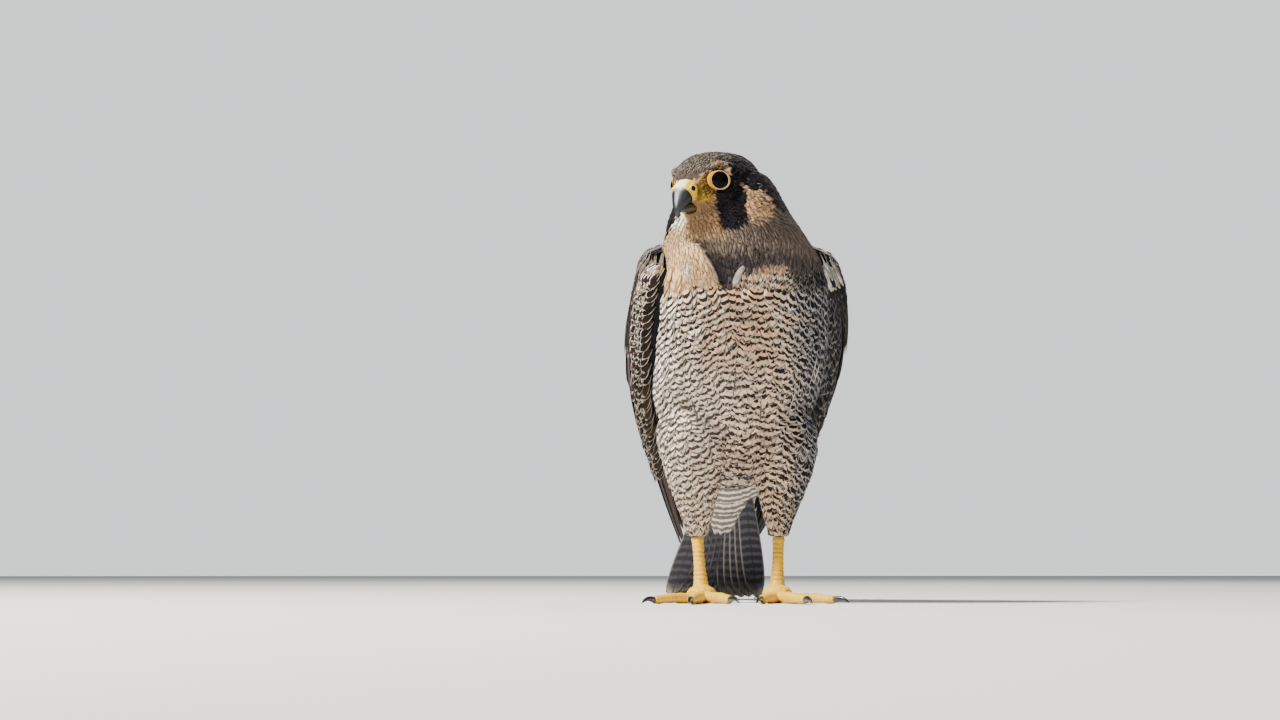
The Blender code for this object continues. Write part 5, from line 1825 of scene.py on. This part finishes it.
@dataclass
class Eye:
    """One eye with the ring of bare skin about it. The right one lies deeper."""

    side: Side
    lid: tuple = (10.1, 21.8, 5.4)
    turn: float = 58
    radius: float = 9.0
    sunk: float = 6.2
    ring_sunk: float = 0.2
    deeper: float = 1.2
    ring_in: tuple = (6.2, 6.0)
    ring_out: tuple = (8.4, 7.2)
    ring_rise: float = 0.6
    ring_tube: float = 0.3

    @staticmethod
    def middle_of(side: Side) -> np.ndarray:
        """The middle of the eyeball's visible cap, in millimetres."""
        eye = Eye(side)
        return eye.place() + eye.look() * 1.0

    def look(self) -> np.ndarray:
        """The direction that the eye looks in."""
        turn = math.radians(self.turn)
        return math.cos(turn) * HEAD.axes[0] + math.sin(turn) * self.side.value * HEAD.axes[1]

    def place(self) -> np.ndarray:
        """The middle of the lids."""
        forward, out, up = self.lid
        return HEAD.world(forward, out * self.side.value, up)

    def behind(self, depth: float) -> Vector:
        """The place that lies a depth behind the lids, in metres."""
        depth += 0.0 if self.side is Side.LEFT else self.deeper
        return Vector(metres(self.place() - self.look() * depth))

    def build(self, finishes: dict) -> None:
        """Builds the eyeball and its ring.

        Args:
            finishes: the materials by name.
        """
        turn = facing(Vector(self.look()))
        self.build_ball(turn, finishes["eye"])
        self.build_ring(turn, finishes["ring"])

    def build_ball(self, turn: Matrix, material: bpy.types.Material) -> None:
        """Builds the eyeball, whose front bulges and whose tint marks the iris.

        Args:
            turn: the turn of its look.
            material: its material.
        """
        radius = self.radius * MM
        centre = self.behind(self.sunk)
        bm = bmesh.new()
        bmesh.ops.create_uvsphere(bm, u_segments=40, v_segments=28, radius=radius)
        for vert in bm.verts:
            vert.co *= 1 + 0.035 * max(0.0, (vert.co.z / radius - 0.76) / 0.24)
        bm.transform(Matrix.Translation(centre) @ turn)
        mesh = mesh_from(bm, "eye")
        gaze = (points_of(mesh) - np.array(centre)) @ np.array(Vector(self.look())) / radius
        angle = np.degrees(np.arccos(np.clip(gaze / np.maximum(1.0, gaze), -1, 1)))
        tint = ease(angle, 27, 29) * (1 - ease(angle, 41, 46))
        word = self.side.word
        finish_piece(f"eyeball_{word}", mesh, material, (f"eye_{word}",), tint)

    def build_ring(self, turn: Matrix, material: bpy.types.Material) -> None:
        """Builds the ring of bare skin, which reaches forward in front.

        Args:
            turn: the turn of the eye's look.
            material: its material.
        """
        bm = ring_form(self.ring_tube, 12, 56)
        chance = np.random.default_rng(SEED + 3)
        shares = []
        for vert in bm.verts:
            spoke = math.hypot(vert.co.x, vert.co.y)
            out = (spoke - 1.0) / 0.6 + 0.5
            rough = 1 + chance.normal(0, 0.008)
            wide, high = (low + (far - low) * out for low, far in zip(self.ring_in, self.ring_out))
            rise = vert.co.z / self.ring_tube * self.ring_rise - 1.3 * out ** 2
            vert.co = Vector((vert.co.x / spoke * wide * rough, vert.co.y / spoke * high * rough, rise)) * MM
            shares.append(out)
        middle = self.behind(self.ring_sunk)
        bm.transform(Matrix.Translation(middle) @ turn)
        mesh = mesh_from(bm, "eye_ring")
        points, shares = points_of(mesh), np.array(shares)
        ahead = (points - np.array(middle)) @ HEAD.axes[0] / MM
        put_points(mesh, points + (HEAD.axes[0] * MM * 1.3) * (ease(ahead, 1, 5) * shares)[:, None])
        tint = ease(shares, 0.1, 0.5) * (0.5 + 0.5 * ease(ahead, -4, 5))
        finish_piece(f"eye_ring_{self.side.word}", mesh, material, tint=tint)


@dataclass
class Beak:
    """The cere, the hooked upper bill, the lower bill and the gape."""

    upper: tuple = (
        (30.8, 3.2, 23.2, -9.2, 7.6), (31.9, 2.2, 23.8, -9.5, 8.1), (33.0, -0.6, 26.4, -10.8, 7.3),
        (34.0, -3.8, 28.8, -12.2, 6.2), (34.9, -7.2, 31.0, -13.4, 5.0), (35.6, -10.8, 32.8, -14.8, 3.6),
        (35.8, -14.4, 34.0, -16.4, 2.2), (35.4, -17.2, 34.4, -18.2, 1.1), (34.8, -19.6, 34.6, -19.7, 0.25),
    )
    lower: tuple = (
        (13.5, 6.8, -10.2, -14.0), (18.5, 7.2, -9.4, -15.0), (23.5, 6.5, -8.6, -15.4),
        (27.5, 5.2, -8.6, -15.4), (30.2, 3.8, -9.8, -15.2), (31.8, 2.2, -11.6, -14.6),
    )
    gape: tuple = ((24.0, 9.2, -9.0), (21.2, 12.6, -8.4), (18.6, 15.6, -8.0), (16.6, 17.8, -8.0))
    nostril: tuple = (24.9, 0.9)

    @staticmethod
    def oval(
        middle: np.ndarray, upward: np.ndarray, half: float, up: float, down: float, sides: int,
    ) -> list:
        """A ring of points about a middle, in the plane of the head's left and an upward direction.

        Args:
            middle: its middle in millimetres.
            upward: the upward direction.
            half: its half width.
            up: how far it rises over the middle.
            down: how far it falls below the middle.
            sides: how many points it has.

        Returns:
            The points in metres.
        """
        left = HEAD.axes[1]
        ring = []
        for i in range(sides):
            turn = math.tau * (i + 0.5) / sides
            c, s = math.cos(turn), math.sin(turn)
            x = half * math.copysign(abs(c) ** 0.87, c)
            z = (up if s > 0 else down) * math.copysign(abs(s) ** 0.87, s)
            ring.append(Vector(metres(middle + left * x + upward * z)))
        return ring

    def build(self, finishes: dict) -> None:
        """Builds the bill's pieces.

        Args:
            finishes: the materials by name.
        """
        rings = []
        for i in range(30):
            a, b, c, d, half = curve_row(self.upper, i / 29)
            high, low = HEAD.world(a, 0, b), HEAD.world(c, 0, d)
            reach = np.linalg.norm(high - low)
            upward = (high - low) / max(reach, 1e-6)
            middle = low + upward * reach * 0.42
            rings.append(self.oval(middle, upward, half, reach * 0.58, reach * 0.42, 28))
        mesh = mesh_from(swept(rings), "bill_upper")
        _, left, up = HEAD.local(millimetres(points_of(mesh))).T
        # tint 0: the blue-grey base, with a painted highlight along the ridge; tint 1: the dark of the tip
        # and, on the sides, partly painted shade.
        tint = np.clip(ease(-up, 5.0, 14.0) + ease(np.abs(left), 0.2, 2.2) * ease(-up, -4.5, 1.0), 0, 1)
        finish_piece("bill_hook", mesh, finishes["bill"], ("bill_upper",), tint)

        rings = []
        for i in range(20):
            forward, half, high, low = curve_row(self.lower, i / 19)
            middle = high * 0.35 + low * 0.65
            rings.append(self.oval(
                HEAD.world(forward, 0, middle), HEAD.axes[2], half, high - middle, middle - low, 24))
        mesh = mesh_from(swept(rings), "bill_lower")
        tint = ease(HEAD.local(millimetres(points_of(mesh)))[:, 0], 24.0, 31.0)
        finish_piece("bill_below", mesh, finishes["low_bill"], ("bill_lower",), tint)

        mesh = merged_nodes(("cere",), 0.0004, 5)
        local = HEAD.local(millimetres(points_of(mesh)))
        rim = np.linalg.norm(local[:, [0, 2]] - self.nostril, axis=1)
        # The pale second colour on the cere's top, away from the nostril, is a painted highlight.
        tint = ease(local[:, 2], -2.0, 4.0) * ease(np.abs(local[:, 1]), 7.0, 3.0) * ease(rim, 2.5, 4.5)
        finish_piece("cere_skin", mesh, finishes["cere"], ("cere",), tint)
        for side in Side:
            self.half_face(side, finishes)

    def half_face(self, side: Side, finishes: dict) -> None:
        """Builds the gape and the nostril of one side.

        Args:
            side: the side.
            finishes: the materials by name.
        """
        points = tuple(tuple(HEAD.world(f, l * side.value, u)) for f, l, u in self.gape)
        rings = []
        for i in range(14):
            s = i / 13
            thick = 0.8 * math.sin(math.pi * (0.18 + 0.74 * s)) + 0.15
            centre = np.array(curve_row(points, s))
            rings.append(self.oval(centre, HEAD.axes[2], thick, thick * 0.8, thick * 0.8, 10))
        gape = mesh_from(swept(rings), "gape")
        hollow = HEAD.world(self.nostril[0] + 0.5, 8.4 * side.value, self.nostril[1])
        turn = facing(Vector(0.35 * HEAD.axes[0] + side.value * HEAD.axes[1]))
        place = Matrix.Translation(Vector(metres(hollow))) @ turn
        pit = bmesh.new()
        bmesh.ops.create_uvsphere(pit, u_segments=16, v_segments=10, radius=1.8 * MM)
        pit.transform(place)
        rim = ring_form(0.27, 10, 32)
        rim.transform(place @ Matrix.Translation((0, 0, 0.0009)) @ Matrix.Scale(2.35 * MM, 4))
        # The nostril's pit is black: painted shade in its hollow.
        for name, mesh, finish, tint in (
            ("gape", gape, "gape", 0.0), ("nostril", mesh_from(pit, "nostril"), "dark", 0.0),
            ("nostril_rim", mesh_from(rim, "nostril_rim"), "cere", 0.25),
        ):
            finish_piece(f"{name}_{side.word}", mesh, finishes[finish], tint=tint)


# Feet.


@dataclass(frozen=True)
class Toe:
    """One toe: its turn from straight ahead toward the midline, length, end radii and claw."""

    name: str
    turn: float
    length: float
    radius: float
    tip_radius: float
    claw: float


@dataclass
class Foot:
    """The bare foot with its scutes, and its claws."""

    side: Side
    pad: tuple = (28, 9, 6.6)
    start: float = 17.5
    wave: tuple = (2.7, 3.4)
    relief: float = 0.62
    toes: tuple = (
        Toe("middle", -12, 44, 4.4, 3.3, 15), Toe("inner", 21, 29, 4.2, 3.3, 16),
        Toe("outer", -47, 34, 4.0, 3.1, 13.5), Toe("hind", 166, 17, 4.1, 3.4, 17),
    )

    def direction(self, toe: Toe) -> np.ndarray:
        """The level direction of a toe."""
        turn = math.radians(toe.turn)
        return np.array([-self.side.value * math.sin(turn), -math.cos(turn), 0])

    def on_toe(self, toe: Toe, s: float) -> np.ndarray:
        """A place on a toe's middle line."""
        height = toe.radius - 0.7 + 0.9 * math.sin(math.pi * min(max(s, 0.0) * 1.15, 1.0)) - 0.35 * s
        base = np.array([self.pad[0] * self.side.value, self.pad[1], height])
        return base + self.direction(toe) * (self.start + toe.length * s)

    def ridges(self, run: np.ndarray, wave: float) -> np.ndarray:
        """How far scutes stand out at a place along them, each as long as a wave."""
        return self.relief * (np.abs(np.sin(np.pi * run / wave)) ** 0.5 - 0.6)

    def scutes(self, points: np.ndarray, normals: np.ndarray) -> np.ndarray:
        """How far each point of the foot's skin stands out, in scutes over the toes and up the leg.

        Args:
            points: places on the foot in millimetres.
            normals: the outward direction at each.

        Returns:
            A height for each, in millimetres.
        """
        relief = np.zeros(len(points))
        base = np.array([self.pad[0] * self.side.value, self.pad[1], 0])
        flat = (points - base) * (1, 1, 0)
        for toe in self.toes:
            ahead = self.direction(toe)
            run = flat @ ahead
            off = np.linalg.norm(flat - run[:, None] * ahead, axis=1)
            mine = (points[:, 2] < 14) & (run > 6) & (off < toe.radius * 1.35)
            relief = np.where(mine, self.ridges(run, self.wave[0]) * ease(normals[:, 2], -0.5, 0.0), relief)
        shank = self.ridges(points[:, 2], self.wave[1]) * ease(points[:, 2], 13, 17)
        return relief + shank * ease(-normals[:, 1], -0.5, 0.2)

    def claw_rings(self, toe: Toe) -> list:
        """The rings of one curved claw.

        Args:
            toe: the toe that bears it.

        Returns:
            The rings in metres, from root to tip.
        """
        ahead = Vector(self.direction(toe))
        root = Vector(self.on_toe(toe, 1))
        last, sides = 15, 14
        middles = []
        for i in range(last + 1):
            s = i / last
            run = toe.claw * math.sin(s * 1.45) / math.sin(1.45) - 1.0
            rise = 1.1 * math.sin(math.pi * min(s * 1.35, 1.0)) - (root.z - 0.75) * s ** 2.1
            middles.append(root + ahead * run + Vector((0, 0, rise)))
        rings = []
        for i, middle in enumerate(middles):
            radius = max(toe.tip_radius * 0.78 * (1 - i / last) ** 0.8, 0.2)
            run = middles[min(i + 1, last)] - middles[max(i - 1, 0)]
            across = run.cross(Vector((0, 0, 1))).normalized()
            upward = across.cross(run).normalized()
            turns = (math.tau * j / sides for j in range(sides))
            ring = (middle + (across * math.cos(t) * 0.86 + upward * math.sin(t)) * radius for t in turns)
            rings.append([Vector(metres(np.array(point))) for point in ring])
        return rings

    def build(self, finishes: dict) -> None:
        """Builds the foot's pieces.

        Args:
            finishes: the materials by name.
        """
        word = self.side.word
        nodes = (f"foot_{word}", *(f"toe_{toe.name}_{word}" for toe in self.toes))
        mesh = merged_nodes(nodes, 0.00065, 6)
        points, normals = millimetres(points_of(mesh)), normals_of(mesh)
        relief = self.scutes(points, normals)
        points += normals * relief[:, None]
        points[:, 2] = np.maximum(points[:, 2], 0.0)
        put_points(mesh, metres(points))
        tint = np.clip(ease(points[:, 2], 3.0, 0.4) * 0.6 + 0.8 * ease(relief, -0.05, -0.30), 0, 1)
        finish_piece(f"foot_skin_{word}", mesh, finishes["foot"], nodes, tint)
        for toe in self.toes:
            mesh = mesh_from(swept(self.claw_rings(toe)), "claw")
            reach = (millimetres(points_of(mesh)) - self.on_toe(toe, 1)) @ self.direction(toe)
            name = f"{toe.name}_{word}"
            tint = ease(reach, 6.0, -0.5)
            finish_piece("talon_" + name, mesh, finishes["claw"], ("claw_" + name,), tint)


# The studio.


@dataclass
class Studio:
    """The floor, the lights and the camera."""

    azimuth: float = -3.3
    elevation: float = -5.5
    distance: float = 1.6
    aim_right: float = -0.07275
    aim: tuple = (0.0, -0.0554, 0.181)
    lens: float = 60.0

    def camera(self) -> None:
        """Puts the camera where the photo's was."""
        a, e = math.radians(self.azimuth), math.radians(self.elevation)
        back = Vector((math.sin(a) * math.cos(e), -math.cos(a) * math.cos(e), math.sin(e)))
        right = Vector((math.cos(a), math.sin(a), 0))
        data = bpy.data.cameras.new("camera")
        data.sensor_width = 36
        data.lens = self.lens
        data.clip_start = 0.01
        data.clip_end = 50
        camera = bpy.data.objects.new("camera", data)
        camera.location = right * self.aim_right + Vector(self.aim) + back * self.distance
        camera.rotation_euler = back.to_track_quat("Z", "Y").to_euler()
        bpy.context.scene.collection.objects.link(camera)
        bpy.context.scene.camera = camera

    def light(self, name: str, place: tuple, size: float, watts: float, colour: tuple) -> None:
        """Adds one soft lamp that faces the bird.

        Args:
            name: its name.
            place: where it hangs, in metres.
            size: its width in metres.
            watts: its power.
            colour: its colour as linear light.
        """
        data = bpy.data.lights.new(name, "AREA")
        data.shape = "DISK"
        data.size = size
        data.energy = watts
        data.color = colour
        lamp = bpy.data.objects.new(name, data)
        lamp.location = place
        aim = Vector(place) - Vector((0, 0, 0.17))
        lamp.rotation_euler = aim.to_track_quat("Z", "Y").to_euler()
        bpy.context.scene.collection.objects.link(lamp)

    def floor(self) -> None:
        """Lays a pale plain floor."""
        bm = bmesh.new()
        bmesh.ops.create_grid(bm, x_segments=2, y_segments=2, size=4.0)
        mesh = plain_mesh(bm, "floor")
        floor = bpy.data.objects.new("floor", mesh)
        bpy.context.scene.collection.objects.link(floor)
        paint, shader = new_material("floor_paint")
        shader.inputs["Base Color"].default_value = (0.78, 0.78, 0.77, 1)
        shader.inputs["Roughness"].default_value = 0.9
        mesh.materials.append(paint)

    def build(self) -> None:
        """Builds floor, lights, backdrop light and camera."""
        self.floor()
        self.light("key", (-1.45, -0.70, 1.95), 0.45, 200, (1.0, 0.95, 0.88))
        self.light("fill", (0.4, -2.2, 0.8), 1.8, 7, (0.92, 0.96, 1.0))
        self.light("rim", (0.9, 1.5, 1.4), 1.0, 12, (1.0, 1.0, 1.0))
        world = bpy.data.worlds.new("studio")
        bpy.context.scene.world = world
        world.use_nodes = True
        nodes = Nodes(world.node_tree)
        sky = world.node_tree.nodes["Background"]
        sky.inputs["Strength"].default_value = 1.0
        seen = nodes.add("LightPath").outputs["Is Camera Ray"]
        nodes.link(nodes.mix(seen, (0.14, 0.16, 0.19), (1.15, 1.17, 1.20)), sky, "Color")
        self.camera()


def make_finishes() -> dict:
    """Every material of the bird, by its short name."""
    groups = Groups()
    warm, cool = linear(36, 24, 19), linear(16, 15, 20)
    dark, gape = linear(6, 5, 5), linear(140, 106, 36)
    finishes = {
        "body": VaneFinish(
            "feathers_breast", warm, cool, linear(240, 233, 220), hair=1.0, contrast=0.4, shaft=0.12,
            bar_share=0.48),
        "head": VaneFinish(
            "feathers_head", linear(58, 44, 36), linear(18, 17, 24), linear(206, 192, 172), contrast=0.6,
            shaft=0.2, hair=1.0),
        "wing": VaneFinish(
            "feathers_wing", linear(58, 46, 40), linear(38, 38, 44), linear(222, 208, 188), bar_share=0.36,
            shaft=0.55, barbs=60.0, rough=0.6, fringe_start=0.86),
        "edge": VaneFinish(
            "feathers_edge", warm, cool, linear(250, 238, 222), barbs=30.0, contrast=0.3, hair=0.5,
            fringe_start=0.76),
        "skin": VaneFinish("skin_down", warm, cool, linear(200, 190, 176), rough=0.9, hair=1.0),
        # A black that is painted shade: the wing's under layer and the nostrils' pits.
        "dark": TintFinish("under_feathers", dark, dark, rough=1.0, uneven=0.1),
        "eye": TintFinish(
            "eye_glass", (0.002, 0.002, 0.002), linear(15, 6, 4), rough=0.10, grain=1500, bump=0.0,
            uneven=0.2, specular=0.05),
        "ring": TintFinish(
            "eye_ring_skin", linear(250, 220, 150), linear(206, 140, 0), grain=1600, bump=0.5, uneven=0.2,
            specular=0.1),
        # The cere's second colour, pale cream, is a painted highlight on its top.
        "cere": TintFinish(
            "cere_skin", linear(222, 172, 0), linear(246, 234, 158), rough=0.45, coat=0.1, grain=1100,
            bump=0.35, uneven=0.2, specular=0.15),
        "gape": TintFinish("gape_skin", gape, gape, grain=1100, bump=0.4, uneven=0.25, specular=0.1),
        "bill": TintFinish(
            "bill_horn", linear(168, 180, 186), linear(20, 25, 25), rough=0.4, coat=0.08, grain=500,
            stretch=0.4, bump=0.12),
        "low_bill": TintFinish(
            "low_bill_horn", linear(76, 60, 22), linear(40, 42, 36), rough=0.4, coat=0.1, grain=500,
            stretch=0.4, bump=0.12, uneven=0.25),
        "foot": TintFinish(
            "foot_skin", linear(226, 178, 44), linear(134, 94, 26), coat=0.05, grain=520, bump=1.0,
            uneven=0.25, specular=0.3),
        "claw": TintFinish(
            "claw_horn", linear(22, 21, 24), linear(62, 58, 56), rough=0.28, coat=0.3, grain=600, bump=0.1,
            uneven=0.2),
    }
    return {name: finish.material(groups) for name, finish in finishes.items()}


def main() -> None:
    """Dresses the bird and sets it in the studio."""
    logging.basicConfig(level=logging.INFO)
    finishes = make_finishes()
    skin = Skin()
    BodyCoat(skin).build(finishes)
    skin.finish(finishes["skin"])
    for side in Side:
        FoldedWing(side).build(finishes)
        Eye(side).build(finishes)
        Foot(side).build(finishes)
    Tail().build(finishes)
    Beak().build(finishes)
    Studio().build()


if __name__ == "__main__":
    main()
